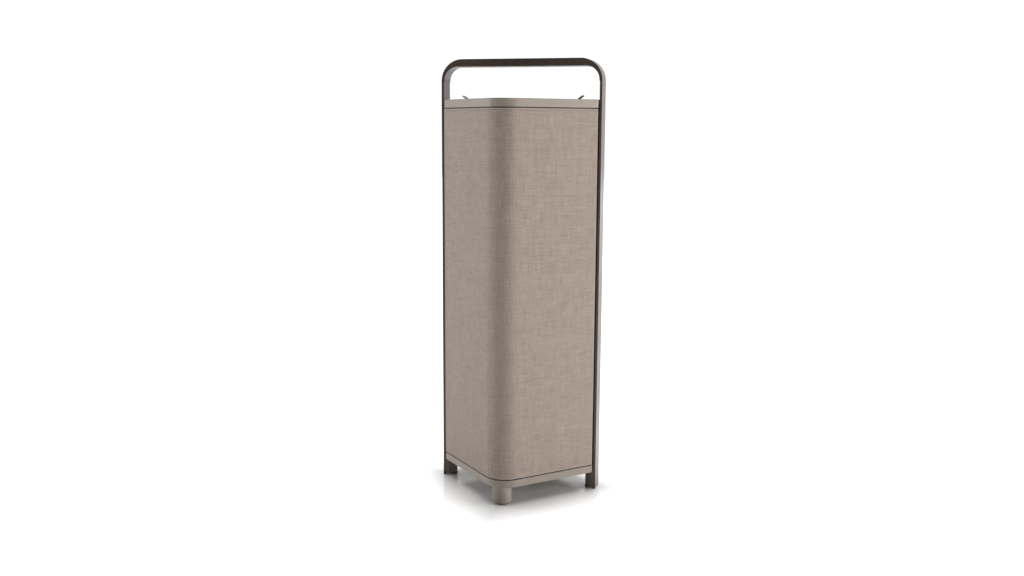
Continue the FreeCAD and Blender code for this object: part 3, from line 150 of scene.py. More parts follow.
def powder_coated_steel():
    """Powder-coated steel bar: a dark brown satin film with a fine orange-peel texture. It is
    dark face on and brightens strongly at a grazing angle."""
    material, tree, shader = new_material("powder_coated_steel", "#463830", 0.3, ior=1.49)
    place = object_place(tree)
    tone = noise(tree, place, 60, 2.0)
    tree.links.new(blend_colours(tree, tone, "#42352C", "#4B3D34"), shader.inputs["Base Color"])
    peel = noise(tree, place, 2.2, 1.0)
    raise_surface(tree, shader, peel, 0.008)
    gloss = spread(tree, noise(tree, place, 90, 0.0), 0.0, 1.0, 0.27, 0.33)
    tree.links.new(gloss, shader.inputs["Roughness"])
    return material


THREAD_PITCH = 3.0 * MM      # real threads lie about 1.5 mm apart, too fine to show
UNDERPASS = 0.25             # how high a thread stands where it passes under, against its crest
SLUB_ALONG, SLUB_ACROSS = 28.0, 360.0    # slubs to the metre, along a thread and across it


def woven_mesh_cloth():
    """Coated polyester mesh, plain woven from thick and thin yarns: slubs make short light and
    dark dashes both ways, and the weave breaks up every highlight."""
    material, tree, shader = new_material("woven_sling_mesh", "#9C9088", 0.85, ior=1.46,
                                          Sheen_Weight=0.15, Sheen_Roughness=0.5)
    uv = add_node(tree, "ShaderNodeUVMap", {"uv_map": "cloth"}).outputs["UV"]
    parts = add_node(tree, "ShaderNodeSeparateXYZ", None, Vector=uv).outputs
    warp = weave_wave(tree, parts["X"], parts["Y"], 0.0)
    weft = weave_wave(tree, parts["Y"], parts["X"], math.pi / 2)
    weave = arithmetic(tree, "MAXIMUM", warp, weft)
    fine = crossed_streaks(tree, uv, SLUB_ACROSS, SLUB_ALONG)
    broad = crossed_streaks(tree, uv, SLUB_ACROSS / 4, SLUB_ALONG / 8)
    streaks = weighted_sum(tree, fine, 0.46, broad, 0.14)
    tone = weighted_sum(tree, weave, 0.3, streaks, 0.85)
    shade = spread(tree, tone, 0.42, 0.98, 0.0, 1.0)
    tree.links.new(blend_colours(tree, shade, "#7E7067", "#B3A497"), shader.inputs["Base Color"])
    raise_surface(tree, shader, weighted_sum(tree, weave, 0.7, fine, 0.3), 0.4)
    return material


def weave_wave(tree, across, along, shift):
    """The height of one set of threads: round across each thread, and rising and falling along
    it as it passes over and under the other set."""
    turns = arithmetic(tree, "MULTIPLY", across, math.pi / THREAD_PITCH)
    crest = arithmetic(tree, "ABSOLUTE", arithmetic(tree, "SINE", turns))
    cell = arithmetic(tree, "FLOOR", arithmetic(tree, "DIVIDE", across, THREAD_PITCH))
    step = arithmetic(tree, "ADD", arithmetic(tree, "MULTIPLY", along, math.pi / THREAD_PITCH),
                      arithmetic(tree, "MULTIPLY", cell, math.pi))
    wave = arithmetic(tree, "SINE", arithmetic(tree, "ADD", step, shift))
    return arithmetic(tree, "MULTIPLY", crest, spread(tree, wave, -1.0, 1.0, UNDERPASS, 1.0))


def drawn_noise(tree, place, scale):
    """Noise drawn out along one way, as (x, y, z) scales in blotches to the metre."""
    stretched = add_node(tree, "ShaderNodeMapping", {"Scale": scale}, Vector=place)
    return add_node(tree, "ShaderNodeTexNoise", {"Scale": 1.0, "Detail": 2.0},
                    Vector=stretched.outputs["Vector"]).outputs["Fac"]


def crossed_streaks(tree, uv, across, along):
    """Streaks of thick and thin yarn, up the cloth and across it."""
    return arithmetic(tree, "ADD", drawn_noise(tree, uv, (across, along, 1.0)),
                      drawn_noise(tree, uv, (along, across, 1.0)))


def weighted_sum(tree, first, first_share, second, second_share):
    """Two values added, each by its share."""
    return arithmetic(tree, "ADD", arithmetic(tree, "MULTIPLY", first, first_share),
                      arithmetic(tree, "MULTIPLY", second, second_share))


def hem_binding():
    """Heat-sealed edge of the mesh: the same yarn pressed flat, so lighter and smoother."""
    material, tree, shader = new_material("sealed_mesh_edge", "#A0958B", 0.7, ior=1.46)
    place = object_place(tree)
    ribs = noise(tree, place, 1.6, 2.0)
    tree.links.new(blend_colours(tree, ribs, "#92877D", "#A99E94"), shader.inputs["Base Color"])
    raise_surface(tree, shader, ribs, 0.12)
    return material


def black_zinc_plated_steel():
    """Black zinc-plated steel fastener: dark grey metal with a fine drawn grain."""
    material, tree, shader = new_material("black_zinc_plated_steel", "#55565A", 0.36, metallic=1.0)
    place = object_place(tree)
    gloss = spread(tree, noise(tree, place, 2.5, 3.0), 0.3, 0.7, 0.26, 0.44)
    tree.links.new(gloss, shader.inputs["Roughness"])
    raise_surface(tree, shader, noise(tree, place, 0.5, 2.0), 0.01)
    return material


def die_cast_aluminium():
    """Die-cast aluminium: dull skin with flow mottle."""
    material, tree, shader = new_material("die_cast_aluminium", "#A9ACAF", 0.5, metallic=1.0)
    place = object_place(tree)
    raise_surface(tree, shader, noise(tree, place, 1.5, 4.0), 0.06)
    gloss = spread(tree, noise(tree, place, 9, 3.0), 0.3, 0.7, 0.42, 0.6)
    tree.links.new(gloss, shader.inputs["Roughness"])
    return material


def anodised_aluminium():
    """Extruded aluminium, anodised dark brown: satin, with faint drawing lines along it."""
    material, tree, shader = new_material("dark_anodised_aluminium", "#241C17", 0.4, metallic=1.0)
    lines = drawn_noise(tree, object_place(tree), (900.0, 900.0, 12.0))
    tree.links.new(spread(tree, lines, 0.3, 0.7, 0.3, 0.48), shader.inputs["Roughness"])
    return material


def moulded_rubber():
    """Moulded nitrile rubber: near black, dusty matt."""
    material, tree, shader = new_material("moulded_rubber", "#1B1B1B", 0.85, ior=1.52)
    place = object_place(tree)
    dust = noise(tree, place, 6, 4.0)
    tree.links.new(blend_colours(tree, dust, "#161616", "#262524"), shader.inputs["Base Color"])
    raise_surface(tree, shader, noise(tree, place, 0.8, 2.0), 0.05)
    return material


def filter_paper():
    """Pleated glass-fibre paper: off-white, fibrous and quite matt."""
    material, tree, shader = new_material("glass_fibre_paper", "#E4E2DA", 0.95, ior=1.4)
    place = object_place(tree)
    fibres = noise(tree, place, 1.5, 6.0, 1.5)
    tree.links.new(blend_colours(tree, fibres, "#D9D6CC", "#EFEDE6"), shader.inputs["Base Color"])
    raise_surface(tree, shader, fibres, 0.15)
    return material


def granular_carbon():
    """Granular activated carbon in a net: black grains that glint a little."""
    material, tree, shader = new_material("activated_carbon", "#151515", 0.6)
    grains = add_node(tree, "ShaderNodeTexVoronoi", {"Scale": 1 / (2.5 * MM)},
                      Vector=object_place(tree)).outputs["Distance"]
    tree.links.new(blend_colours(tree, grains, "#0B0B0B", "#242424"), shader.inputs["Base Color"])
    raise_surface(tree, shader, grains, 0.6)
    return material


def circuit_laminate():
    """Glass-epoxy circuit board under solder mask: dark green, glossy, with the weave below."""
    material, tree, shader = new_material("glass_epoxy_laminate", "#1D4A2C", 0.3, ior=1.55,
                                          Coat_Weight=0.4, Coat_Roughness=0.15)
    place = object_place(tree)
    tracks = add_node(tree, "ShaderNodeTexBrick", {"Scale": 1 / (14 * MM), "Mortar_Size": 0.03},
                      Vector=place).outputs["Fac"]
    tree.links.new(blend_colours(tree, tracks, "#1B4629", "#2D6B3F"), shader.inputs["Base Color"])
    return material


def brass_plate():
    """Plated brass contact: bright yellow metal with faint draw marks."""
    material, tree, shader = new_material("plated_brass", "#D8B46A", 0.28, metallic=1.0)
    gloss = spread(tree, noise(tree, object_place(tree), 1.5, 3.0), 0.3, 0.7, 0.2, 0.38)
    tree.links.new(gloss, shader.inputs["Roughness"])
    return material


def clear_lens():
    """Clear polycarbonate light pipe, milky from moulding."""
    material, tree, shader = new_material("polycarbonate_light_pipe", "#E6EEEA", 0.12, ior=1.58,
                                          Transmission_Weight=0.35)
    haze = noise(tree, object_place(tree), 2, 3.0)
    tree.links.new(spread(tree, haze, 0.3, 0.7, 0.08, 0.2), shader.inputs["Roughness"])
    return material


PAINTED_SHADOW_EDGE, PAINTED_SHADOW_CLEAR = 0.18, 0.33    # |x| + |y| where the painted glow starts and is full, m: the column's painted shadow ends here
SHEET_FAR, SHEET_END = 2.5, 6.0           # where the far painted glow starts and is full, m
# strength of the painted glow near the column and far off
NEAR_PAINTED_GLOW, FAR_PAINTED_GLOW = 0.62, 0.5


def painted_glow_floor():
    """White glossy floor that glows with painted light, not lit by any lamp: no glow under the column,
    which paints its shadow there, an even glow round it, and more where the sheet meets the backdrop."""
    material, tree, shader = new_material("white_floor_painted_glow", "#DEDEDE", 0.13, ior=1.52,
                                          Emission_Color=linear("#FFFFFF"))
    place = object_place(tree)
    parts = add_node(tree, "ShaderNodeSeparateXYZ", None, Vector=place).outputs
    beside = arithmetic(tree, "ADD", arithmetic(tree, "ABSOLUTE", parts["X"]),
                        arithmetic(tree, "ABSOLUTE", parts["Y"]))
    far = add_node(tree, "ShaderNodeVectorMath", {"operation": "LENGTH"}, _0=place)
    # painted light and shadow: no glow on the column's footprint, full glow beyond it
    near_painted_glow = spread(tree, beside, PAINTED_SHADOW_EDGE, PAINTED_SHADOW_CLEAR, 0.0, NEAR_PAINTED_GLOW)
    far_painted_glow = spread(tree, far.outputs["Value"], SHEET_FAR, SHEET_END, 0.0, FAR_PAINTED_GLOW)
    painted_glow = arithmetic(tree, "ADD", near_painted_glow, far_painted_glow)
    tree.links.new(painted_glow, shader.inputs["Emission Strength"])
    return material


MATERIALS = {
    "hoop_coating": powder_coated_steel(),
    "grip_moulding": moulded("satin_grip_moulding", "#3E342D", "#463B33", 0.36, 1.2, 0.02, 1.55),
    "body_moulding": moulded("taupe_abs_moulding", "#8F8479", "#968B80", 0.42),
    "woven_mesh": woven_mesh_cloth(),
    "rail_aluminium": anodised_aluminium(),
    "panel_moulding": moulded("dark_abs_moulding", "#2A1F19", "#34281F", 0.62),
    "rubber": moulded_rubber(),
    "steel": black_zinc_plated_steel(),
    "filter_paper": filter_paper(),
    "carbon": granular_carbon(),
    "filter_moulding": moulded("filter_polypropylene", "#34353A", "#3C3D42", 0.6),
    "fan_moulding": moulded("glass_filled_nylon", "#26272A", "#2F3033", 0.5, 0.7, 0.06),
    "motor_casting": die_cast_aluminium(),
    "circuit_board": circuit_laminate(),
    "control_moulding": moulded("satin_control_moulding", "#3F3934", "#48413C", 0.38, 0.5, 0.02),
    "lens": clear_lens(),
    "contact_brass": brass_plate(),
}


def around_axis(tree, radius):
    """Distance round a cylinder about the upright axis, and height, both in metres."""
    parts = add_node(tree, "ShaderNodeSeparateXYZ", None, Vector=object_place(tree)).outputs
    angle = arithmetic(tree, "ARCTAN2", parts["Y"], parts["X"])
    return arithmetic(tree, "MULTIPLY", angle, radius), parts["Z"]


STRAND_PITCH = 6.0 * MM
STRAND_EDGE = 0.45           # where a strand ends, on a wave of 0 at its middle and 1 between two


def filter_net(radius):
    """Extruded polypropylene net round the filter: crossing strands on a skew over dark foam."""
    material, tree, shader = new_material("extruded_filter_net", "#3A3C42", 0.5, ior=1.49)
    across, up = around_axis(tree, radius)
    strands = []
    for way in ("ADD", "SUBTRACT"):
        skew = arithmetic(tree, way, across, up)
        turns = arithmetic(tree, "MULTIPLY", skew, math.pi / STRAND_PITCH)
        wave = arithmetic(tree, "ABSOLUTE", arithmetic(tree, "SINE", turns))
        strands.append(spread(tree, wave, 0.0, STRAND_EDGE, 1.0, 0.0))
    net = arithmetic(tree, "MAXIMUM", strands[0], strands[1])
    tree.links.new(blend_colours(tree, net, "#15161A", "#565961"), shader.inputs["Base Color"])
    tree.links.new(spread(tree, net, 0.0, 1.0, 0.9, 0.42), shader.inputs["Roughness"])
    raise_surface(tree, shader, net, 0.8)
    return material


def dress_nodes():
    """Give every CAD node the finish of its material slot, the filter its net, and the two feet
    beside the legs a darker, slightly browner moulding than the rest of the body."""
    for part in frame["record"]["subparts"]:
        node = frame["nodes"][part["node"]]
        node.data.materials.clear()
        node.data.materials.append(MATERIALS[part["material_slot"]])
    sleeve = frame["nodes"]["prefilter_sleeve"]
    sleeve.data.materials[0] = filter_net(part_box("prefilter_sleeve")[1].x)
    # the two feet beside the legs are drawn darker than the rest of the body
    feet_darker = moulded("feet_darker_abs_moulding", "#5F5349", "#685C51", 0.45)
    for name in ("left_foot", "right_foot"):
        frame["nodes"][name].data.materials[0] = feet_darker


# ---------------------------------------------------------------- mesh helpers

def mesh_object(name, vertices, faces, material, smooth=True):
    """An object at the origin with its place in its mesh."""
    mesh = bpy.data.meshes.new(name)
    mesh.from_pydata(vertices, [], faces)
    mesh.validate()
    mesh.materials.append(material)
    mesh.polygons.foreach_set("use_smooth", [smooth] * len(mesh.polygons))
    piece = bpy.data.objects.new(name, mesh)
    bpy.context.scene.collection.objects.link(piece)
    return piece


def bake_modifiers(piece):
    """Turn a piece's live modifiers into its plain mesh."""
    bpy.context.view_layer.update()
    graph = bpy.context.evaluated_depsgraph_get()
    baked = bpy.data.meshes.new_from_object(piece.evaluated_get(graph), depsgraph=graph)
    piece.modifiers.clear()
    piece.data = baked
    return piece


# ---------------------------------------------------------------- the cloth of a panel

SIDES = (("front", 0.0), ("rear", math.pi))    # each panel, and its turn about the upright axis
PANEL_LOW, PANEL_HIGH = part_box("front_mesh")
PANEL_END = PANEL_HIGH.x                       # where a panel ends beside a leg
LEG_GAP = 2 * MM
FACE_STAND = 25 * MM            # how far the square plan would reach past the legs' inner faces
HALF_DIAGONAL = PANEL_END + LEG_GAP + FACE_STAND
NOSE_RADIUS = 50 * MM           # the column's rounded front and rear corners
CLOTH_THICK = 0.9 * MM
CLOTH_INSET = 0.05 * MM         # how far inside the CAD skin's outer face the cloth lies
CLOTH_MARGIN = 0.3 * MM         # left free above and below the cloth
CLOTH_ROWS = 120
FLAT_STEPS, NOSE_STEPS = 34, 16     # runs along a flat face, and round a corner
HEM_WIDTH = 3.0 * MM
HEM_PROUD = 0.15 * MM           # at the hem's edges, and twice that at its middle
HEM_MARGIN = 0.1 * MM           # left free above and below the hem
HEM_EASE = 0.225 * MM           # how far the hem's outer edges are drawn in


def cloth_path(inset):
    """Points round the front of the column from the left leg to the right one, with the
    distance along the cloth at each."""
    reach = HALF_DIAGONAL - inset * math.sqrt(2)
    nose = NOSE_RADIUS - inset
    centre = Vector((0, -reach + nose * math.sqrt(2)))
    start = Vector((-PANEL_END, -(reach - PANEL_END)))
    touch = centre + nose * Vector((-1, -1)).normalized()
    points = [start.lerp(touch, step / FLAT_STEPS) for step in range(FLAT_STEPS)]
    for step in range(NOSE_STEPS + 1):
        angle = math.radians(-135 + 90 * step / NOSE_STEPS)
        points.append(centre + nose * Vector((math.cos(angle), math.sin(angle))))
    points += [Vector((-point.x, point.y)) for point in reversed(points[:FLAT_STEPS])]
    runs = [0.0]
    for before, after in zip(points, points[1:]):
        runs.append(runs[-1] + (after - before).length)
    return points, runs


def panel_cloth(name, turn):
    """The woven mesh of one panel: a taut sheet with real thickness and UVs in metres."""
    points, runs = cloth_path(CLOTH_INSET)
    low, high = PANEL_LOW.z + CLOTH_MARGIN, PANEL_HIGH.z - CLOTH_MARGIN
    vertices = []
    for row in range(CLOTH_ROWS + 1):
        height = low + (high - low) * row / CLOTH_ROWS
        for point in points:
            vertices.append((point.x, point.y, height))
    count = len(points)
    faces = []
    for row in range(CLOTH_ROWS):
        for column in range(count - 1):
            corner = row * count + column
            faces.append((corner, corner + 1, corner + count + 1, corner + count))
    vertices = [turn @ Vector(vertex) for vertex in vertices]
    piece = mesh_object(name + "_mesh_cloth", vertices, faces, MATERIALS["woven_mesh"])
    layer = piece.data.uv_layers.new(name="cloth")
    for loop in piece.data.loops:
        row, column = divmod(loop.vertex_index, count)
        layer.data[loop.index].uv = (runs[column], (high - low) * row / CLOTH_ROWS)
    wall = piece.modifiers.new("wall", "SOLIDIFY")
    wall.thickness = CLOTH_THICK
    wall.offset = -1
    bake_modifiers(piece)
    return piece, (runs[-1], high - low)


def panel_hem(name, turn, material):
    """The sealed edge of the cloth, turned over the panel's four sides."""
    points, _ = cloth_path(0.0)
    low, high = PANEL_LOW.z + HEM_MARGIN, PANEL_HIGH.z - HEM_MARGIN
    outward = []
    for index, point in enumerate(points):
        before = points[max(index - 1, 0)]
        after = points[min(index + 1, len(points) - 1)]
        along = (after - before).normalized()
        outward.append(Vector((along.y, -along.x)))
    vertices, faces = [], []

    def strip(rows):
        """Join rows of points, each a closed ring of the strip's section."""
        base = len(vertices)
        size = len(rows[0])
        for row in rows:
            vertices.extend(turn @ Vector(spot) for spot in row)
        for row in range(len(rows) - 1):
            for corner in range(size):
                after = (corner + 1) % size
                faces.append((base + row * size + corner, base + row * size + after,
                              base + (row + 1) * size + after, base + (row + 1) * size + corner))
        faces.append(tuple(base + corner for corner in reversed(range(size))))
        top = base + (len(rows) - 1) * size
        faces.append(tuple(top + corner for corner in range(size)))

    def section(point, normal, z_low, z_high):
        """The crowned section of the hem along the panel's top or bottom."""
        inner = point - normal * (CLOTH_THICK / 2)
        outer = point + normal * HEM_PROUD
        crown = point + normal * (2 * HEM_PROUD)
        return [(*inner, z_low), (*outer, z_low + HEM_EASE), (*crown, (z_low + z_high) / 2),
                (*outer, z_high - HEM_EASE), (*inner, z_high)]

    for z_low, z_high in ((low, low + HEM_WIDTH), (high - HEM_WIDTH, high)):
        strip([section(point, normal, z_low, z_high) for point, normal in zip(points, outward)])
    for index, way in ((0, 1), (len(points) - 1, -1)):
        near = points[index]
        normal = outward[index]
        far = near + (points[index + way] - near).normalized() * HEM_WIDTH
        below = normal * (CLOTH_THICK / 2)
        proud = normal * HEM_PROUD
        crown = (near + far) / 2 + proud * 2
        across = [near - below, near + proud, crown, far + proud, far - below]
        strip([[(*spot, z) for spot in across[::way]] for z in (low, high)])
    piece = mesh_object(name + "_mesh_hem", vertices, faces, material, smooth=False)
    fix_normals(piece)
    return piece


def fix_normals(piece):
    """Turn every face of a closed shape outwards."""
    work = bmesh.new()
    work.from_mesh(piece.data)
    bmesh.ops.recalc_face_normals(work, faces=work.faces)
    work.to_mesh(piece.data)
    work.free()


def make_panels():
    """Both panels' cloths and hems, each riding with its panel."""
    binding = hem_binding()
    for name, angle in SIDES:
        turn = Matrix.Rotation(angle, 4, "Z")
        cloth, flat = panel_cloth(name, turn)
        hem = panel_hem(name, turn, binding)
        for piece in (cloth, hem):
            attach(piece, name + "_panel")
        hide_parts(name + "_mesh")


# ---------------------------------------------------------------- pieces that repeat

def shape_tree(name, inputs):
    """A Geometry Nodes tree with named number inputs, and its input and output nodes."""
    tree = bpy.data.node_groups.new(name, "GeometryNodeTree")
    tree.interface.new_socket("Geometry", in_out="INPUT", socket_type="NodeSocketGeometry")
    for label, value in inputs.items():
        kind = "NodeSocketInt" if isinstance(value, int) else "NodeSocketFloat"
        socket = tree.interface.new_socket(label, in_out="INPUT", socket_type=kind)
        socket.default_value = value
    tree.interface.new_socket("Geometry", in_out="OUTPUT", socket_type="NodeSocketGeometry")
    return tree, tree.nodes.new("NodeGroupInput").outputs, tree.nodes.new("NodeGroupOutput")


def finish_tree(tree, out, shape, material):
    """End a tree in real geometry with its material."""
    real = add_node(tree, "GeometryNodeRealizeInstances", None, Geometry=shape)
    coated = add_node(tree, "GeometryNodeSetMaterial", {"Material": material},
                      Geometry=real.outputs["Geometry"])
    tree.links.new(coated.outputs["Geometry"], out.inputs["Geometry"])


def grown_piece(name, tree, points, values=None):
    """A plain mesh grown by a tree from loose points."""
    seed = bpy.data.meshes.new(name + "_seed")
    seed.from_pydata(points, [], [])
    piece = bpy.data.objects.new(name, seed)
    bpy.context.scene.collection.objects.link(piece)
    modifier = piece.modifiers.new("grow", "NODES")
    modifier.node_group = tree
    for socket in tree.interface.items_tree:
        if values and socket.name in values and socket.in_out == "INPUT":
            modifier[socket.identifier] = values[socket.name]
    return bake_modifiers(piece)


HEAD_RADIUS = 3.4 * MM                  # of the CAD's flat screw heads
DOME_HEIGHT = 0.5 * MM
GRIP_SCREW_SHARES = (-1.0, -0.34, 0.34, 1.0)    # places in the row, as shares of its half length


def screw_head_tree(material):
    """At each point, a low dome with a six-lobed socket cut into it."""
    tree, given, out = shape_tree("screw_faces", {"Radius": 3.2 * MM, "Dome": DOME_HEIGHT,
                                                  "Lobes": 6, "Lobe Radius": 0.42 * MM,
                                                  "Lobe Ring": 1.1 * MM, "Lobe Height": 0.9 * MM})
    dome = add_node(tree, "GeometryNodeMeshUVSphere", {"Segments": 28, "Rings": 14, "Radius": 1.0})
    stretch = add_node(tree, "ShaderNodeCombineXYZ", None, X=given["Radius"], Y=given["Radius"],
                       Z=given["Dome"])
    low_dome = add_node(tree, "GeometryNodeTransform", None, Geometry=dome.outputs["Mesh"],
                        Scale=stretch.outputs["Vector"])
    circle = add_node(tree, "GeometryNodeMeshCircle", None, Vertices=given["Lobes"],
                      Radius=given["Lobe Ring"])
    lobe = add_node(tree, "GeometryNodeMeshCylinder", {"Vertices": 12},
                    Radius=given["Lobe Radius"], Depth=given["Lobe Height"])
    lobes = add_node(tree, "GeometryNodeInstanceOnPoints", None, Points=circle.outputs["Mesh"],
                     Instance=lobe.outputs["Mesh"])
    middle = add_node(tree, "GeometryNodeMeshCylinder", {"Vertices": 24},
                      Radius=given["Lobe Ring"], Depth=given["Lobe Height"])
    drive = add_node(tree, "GeometryNodeJoinGeometry")
    tree.links.new(add_node(tree, "GeometryNodeRealizeInstances", None,
                            Geometry=lobes.outputs["Instances"]).outputs["Geometry"],
                   drive.inputs["Geometry"])
    tree.links.new(middle.outputs["Mesh"], drive.inputs["Geometry"])
    lift = add_node(tree, "ShaderNodeCombineXYZ", None, Z=given["Dome"])
    raised = add_node(tree, "GeometryNodeTransform", None, Geometry=drive.outputs["Geometry"],
                      Translation=lift.outputs["Vector"])
    hollow = add_node(tree, "GeometryNodeMeshBoolean", {"operation": "DIFFERENCE"})
    tree.links.new(low_dome.outputs["Geometry"], hollow.inputs["Mesh 1"])
    tree.links.new(raised.outputs["Geometry"], hollow.inputs["Mesh 2"])
    placed = add_node(tree, "GeometryNodeInstanceOnPoints", None, Points=given["Geometry"],
                      Instance=hollow.outputs["Mesh"])
    finish_tree(tree, out, placed.outputs["Instances"], material)
    return tree


def screw_faces():
    """Domed faces with drive sockets. They stand on the cap screws' heads, but lie sunk in the
    grip screws' heads, flush with the hoop, where the flat heads hide them."""
    tree = screw_head_tree(MATERIALS["steel"])
    low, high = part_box("cap_screws")
    cap_spots = [(x, y, high.z) for x in (low.x + HEAD_RADIUS, high.x - HEAD_RADIUS)
                 for y in (low.y + HEAD_RADIUS, high.y - HEAD_RADIUS)]
    low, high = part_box("grip_screws")
    half = (high.x - low.x) / 2 - HEAD_RADIUS
    grip_spots = [(half * share, 0.0, high.z - DOME_HEIGHT) for share in GRIP_SCREW_SHARES]
    for name, spots in (("cap_screw_faces", cap_spots), ("grip_screw_faces", grip_spots)):
        piece = grown_piece(name, tree, spots)
        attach(piece, "frame")


def printed_ink(name, dark, light):
    """Screen-printed ink: a flat film with faint speckle, shinier than what it lies on."""
    material, tree, shader = new_material(name, light, 0.35, ior=1.5)
    speckle = noise(tree, object_place(tree), 0.6, 2.0)
    tree.links.new(blend_colours(tree, speckle, dark, light), shader.inputs["Base Color"])
    return material


PALE_INK = printed_ink("pale_printed_ink", "#CFCAC2", "#E2DDD6")
INK_HEIGHT = 0.06 * MM
CAP_SCREW_STAND = 2.4 * MM              # how far a cap screw's head stands above the top plate
DIAL_START = math.radians(-45)          # the first tick, where the knob points at rest
TICK_TURN = 0.4712                      # a tenth of the knob's three quarters of a turn


def dial_marks():
    """Printed ticks round the speed knob, laid out anticlockwise. The knob itself turns
    clockwise, so only some of the ticks lie on its pointer's way."""
    tree, given, out = shape_tree("dial_ticks", {"Count": 11, "Ring": 16.2 * MM,
                                                 "Tick Width": 0.7 * MM, "Tick Length": 2.2 * MM,
                                                 "Ink Height": INK_HEIGHT, "Start": 0.0,
                                                 "Turn": TICK_TURN})
    line = add_node(tree, "GeometryNodeMeshLine", None, Count=given["Count"])
    number = add_node(tree, "GeometryNodeInputIndex").outputs["Index"]
    angle = arithmetic(tree, "MULTIPLY", number, given["Turn"])
    start = arithmetic(tree, "ADD", angle, given["Start"])
    across = arithmetic(tree, "MULTIPLY", arithmetic(tree, "COSINE", start), given["Ring"])
    along = arithmetic(tree, "MULTIPLY", arithmetic(tree, "SINE", start), given["Ring"])
    spot = add_node(tree, "ShaderNodeCombineXYZ", None, X=across, Y=along)
    fan = add_node(tree, "GeometryNodeSetPosition", None, Geometry=line.outputs["Mesh"],
                   Position=spot.outputs["Vector"])
    size = add_node(tree, "ShaderNodeCombineXYZ", None, X=given["Tick Length"],
                    Y=given["Tick Width"], Z=given["Ink Height"])
    tick = add_node(tree, "GeometryNodeMeshCube", None, Size=size.outputs["Vector"])
    turn = add_node(tree, "ShaderNodeCombineXYZ", None, Z=start)
    ticks = add_node(tree, "GeometryNodeInstanceOnPoints", None, Points=fan.outputs["Geometry"],
                     Instance=tick.outputs["Mesh"], Rotation=turn.outputs["Vector"])
    ring = add_node(tree, "GeometryNodeRealizeInstances", None, Geometry=ticks.outputs["Instances"])
    dial = add_node(tree, "GeometryNodeInstanceOnPoints", None, Points=given["Geometry"],
                    Instance=ring.outputs["Geometry"])
    finish_tree(tree, out, dial.outputs["Instances"],
                printed_ink("dark_printed_ink", "#332D29", "#3F3833"))
    low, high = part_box("speed_knob")
    plate_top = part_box("cap_screws")[1].z - CAP_SCREW_STAND
    middle = (low + high) / 2
    piece = grown_piece("dial_ticks", tree, [(middle.x, middle.y, plate_top + INK_HEIGHT / 2)],
                        {"Start": DIAL_START})
    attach(piece, "frame")


def button_mark():
    """The generic standby sign on the power button: an open ring with a stroke at its gap."""
    low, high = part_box("power_button")
    middle = (low + high) / 2
    levels = (high.z - 0.05 * MM, high.z)
    ring, thick = 3.4 * MM, 0.8 * MM
    stroke_start = 0.8 * MM
    steps = 36
    gap = math.radians(35)
    vertices, faces = [], []
    for step in range(steps + 1):
        angle = math.pi / 2 + gap + (2 * math.pi - 2 * gap) * step / steps
        for radius in (ring - thick / 2, ring + thick / 2):
            for height in levels:
                vertices.append((middle.x + radius * math.cos(angle),
                                 middle.y + radius * math.sin(angle), height))
    for step in range(steps):
        near = step * 4
        far = near + 4
        faces += [(near + 1, near + 3, far + 3, far + 1), (near, far, far + 2, near + 2),
                  (near, near + 1, far + 1, far), (near + 2, far + 2, far + 3, near + 3)]
    last = steps * 4
    faces += [(0, 2, 3, 1), (last, last + 1, last + 3, last + 2)]
    base = len(vertices)
    for height in levels:
        for x, y in ((-thick / 2, stroke_start), (thick / 2, stroke_start),
                     (thick / 2, ring + thick / 2), (-thick / 2, ring + thick / 2)):
            vertices.append((middle.x + x, middle.y + y, height))
    faces += [(base, base + 3, base + 2, base + 1), (base + 4, base + 5, base + 6, base + 7)]
    faces += [(base + c, base + (c + 1) % 4, base + 4 + (c + 1) % 4, base + 4 + c)
              for c in range(4)]
    piece = mesh_object("standby_mark", vertices, faces, PALE_INK, smooth=False)
    fix_normals(piece)
    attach(piece, "button")


POINTER_SUNK, POINTER_PROUD = 0.32 * MM, 0.02 * MM


def knob_pointer():
    """The pointer line inlaid in the speed knob: a bar with pointed ends."""
    low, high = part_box("speed_knob")
    middle = (low + high) / 2
    along = Vector((math.cos(DIAL_START), math.sin(DIAL_START), 0))
    across = Vector((-along.y, along.x, 0))
    half = 0.6 * MM
    inner, outer = 4.0 * MM, 11.0 * MM
    rim = [(inner, -half), (outer, -half), (outer + half, 0.0), (outer, half),
           (inner, half), (inner - half, 0.0)]
    vertices = []
    for height in (high.z - POINTER_SUNK, high.z + POINTER_PROUD):
        for reach, side in rim:
            spot = middle + along * reach + across * side
            vertices.append((spot.x, spot.y, height))
    count = len(rim)
    faces = [tuple(reversed(range(count))), tuple(count + corner for corner in range(count))]
    faces += [(c, (c + 1) % count, count + (c + 1) % count, count + c) for c in range(count)]
    piece = mesh_object("knob_pointer", vertices, faces, PALE_INK, smooth=False)
    fix_normals(piece)
    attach(piece, "knob")


# ---------------------------------------------------------------- stage, light and camera

def make_stage():
    """The flat white floor under the object."""
    half = 14.0
    floor = mesh_object("floor", [(-half, -half, 0), (half, -half, 0), (half, half, 0),
                                  (-half, half, 0)], [(0, 1, 2, 3)], painted_glow_floor())


def soft_light(name, place, aim, size, power):
    """A softbox that faces a point."""
    light = bpy.data.lights.new(name, "AREA")
    light.shape = "RECTANGLE"
    light.size, light.size_y = size
    light.energy = power
    lamp = bpy.data.objects.new(name, light)
    lamp.location = place
    lamp.rotation_euler = (Vector(aim) - Vector(place)).to_track_quat("-Z", "Y").to_euler()
    bpy.context.scene.collection.objects.link(lamp)


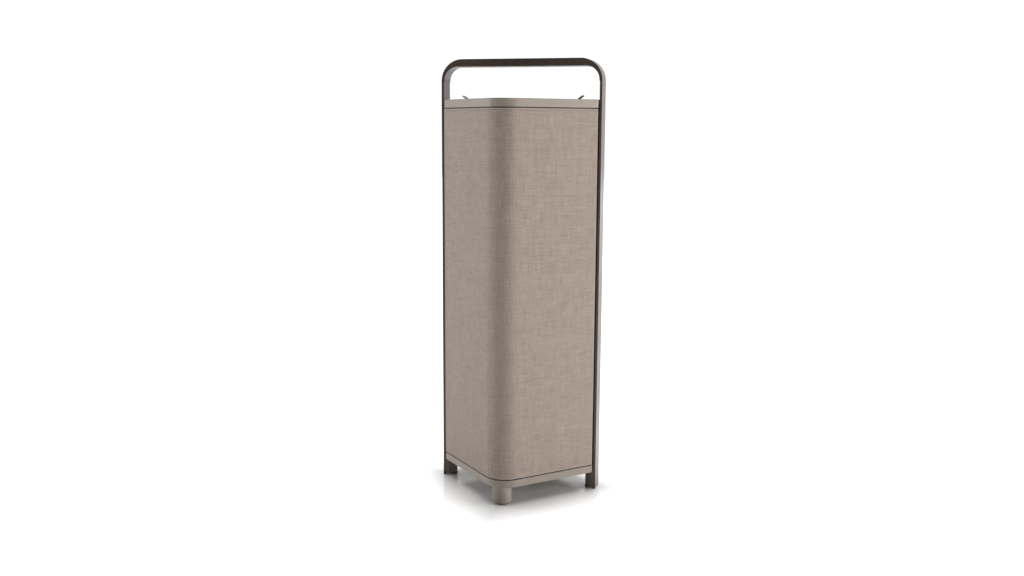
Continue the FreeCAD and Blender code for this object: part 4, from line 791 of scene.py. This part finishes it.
SKY_FRONT, SKY_BEHIND = 0.04, 1.05      # strength of the sky before and behind the object
WHITE_BACKDROP = 1.05


def make_light():
    """A bright white studio: softboxes left and right, stronger on the right, a wide one overhead,
    and a sky that is bright behind the object and dark in front of it. Seen directly, the sky is a
    white backdrop from every side."""
    middle = (0, 0, 0.5)
    soft_light("right_softbox", (2.7, 0.2, 0.45), (0, 0, 0.25), (1.4, 1.3), 60)
    soft_light("left_softbox", (-2.7, -0.25, 1.0), middle, (1.4, 1.8), 25)
    soft_light("overhead_softbox", (0, 0.6, 3.2), middle, (2.2, 2.2), 78)
    world = bpy.data.worlds.new("studio")
    bpy.context.scene.world = world
    world.use_nodes = True
    tree = world.node_tree
    direction = add_node(tree, "ShaderNodeTexCoord").outputs["Generated"]
    depth = add_node(tree, "ShaderNodeSeparateXYZ", None, Vector=direction).outputs["Y"]
    level = spread(tree, depth, -0.16, 0.7, SKY_FRONT, SKY_BEHIND)
    seen = add_node(tree, "ShaderNodeLightPath").outputs["Is Camera Ray"]
    backdrop = arithmetic(tree, "MULTIPLY", seen, WHITE_BACKDROP)
    strength = arithmetic(tree, "MAXIMUM", level, backdrop)
    background = tree.nodes["Background"]
    background.inputs["Color"].default_value = linear("#FFFFFF")
    tree.links.new(strength, background.inputs["Strength"])


def make_camera():
    """The camera in front and to the right, a little below the height of the cap, looking
    slightly down."""
    camera = bpy.data.cameras.new("camera")
    camera.lens = 36.0
    camera.sensor_width = 36.0
    camera.clip_end = 60.0
    holder = bpy.data.objects.new("camera", camera)
    place = (0.6049, -2.3273, 0.8528)
    yaw, pitch, roll = 0.2636, 0.1569, 0.0051
    turn = Euler((math.pi / 2 - pitch, 0, yaw), "XYZ").to_matrix().to_4x4()
    lean = Matrix.Rotation(roll, 4, "Z")
    holder.matrix_world = Matrix.Translation(place) @ turn @ lean
    bpy.context.scene.collection.objects.link(holder)
    bpy.context.scene.camera = holder


make_camera()
dress_nodes()
make_panels()
screw_faces()
dial_marks()
button_mark()
knob_pointer()
make_stage()
make_light()
bpy.context.scene.view_settings.view_transform = "Standard"
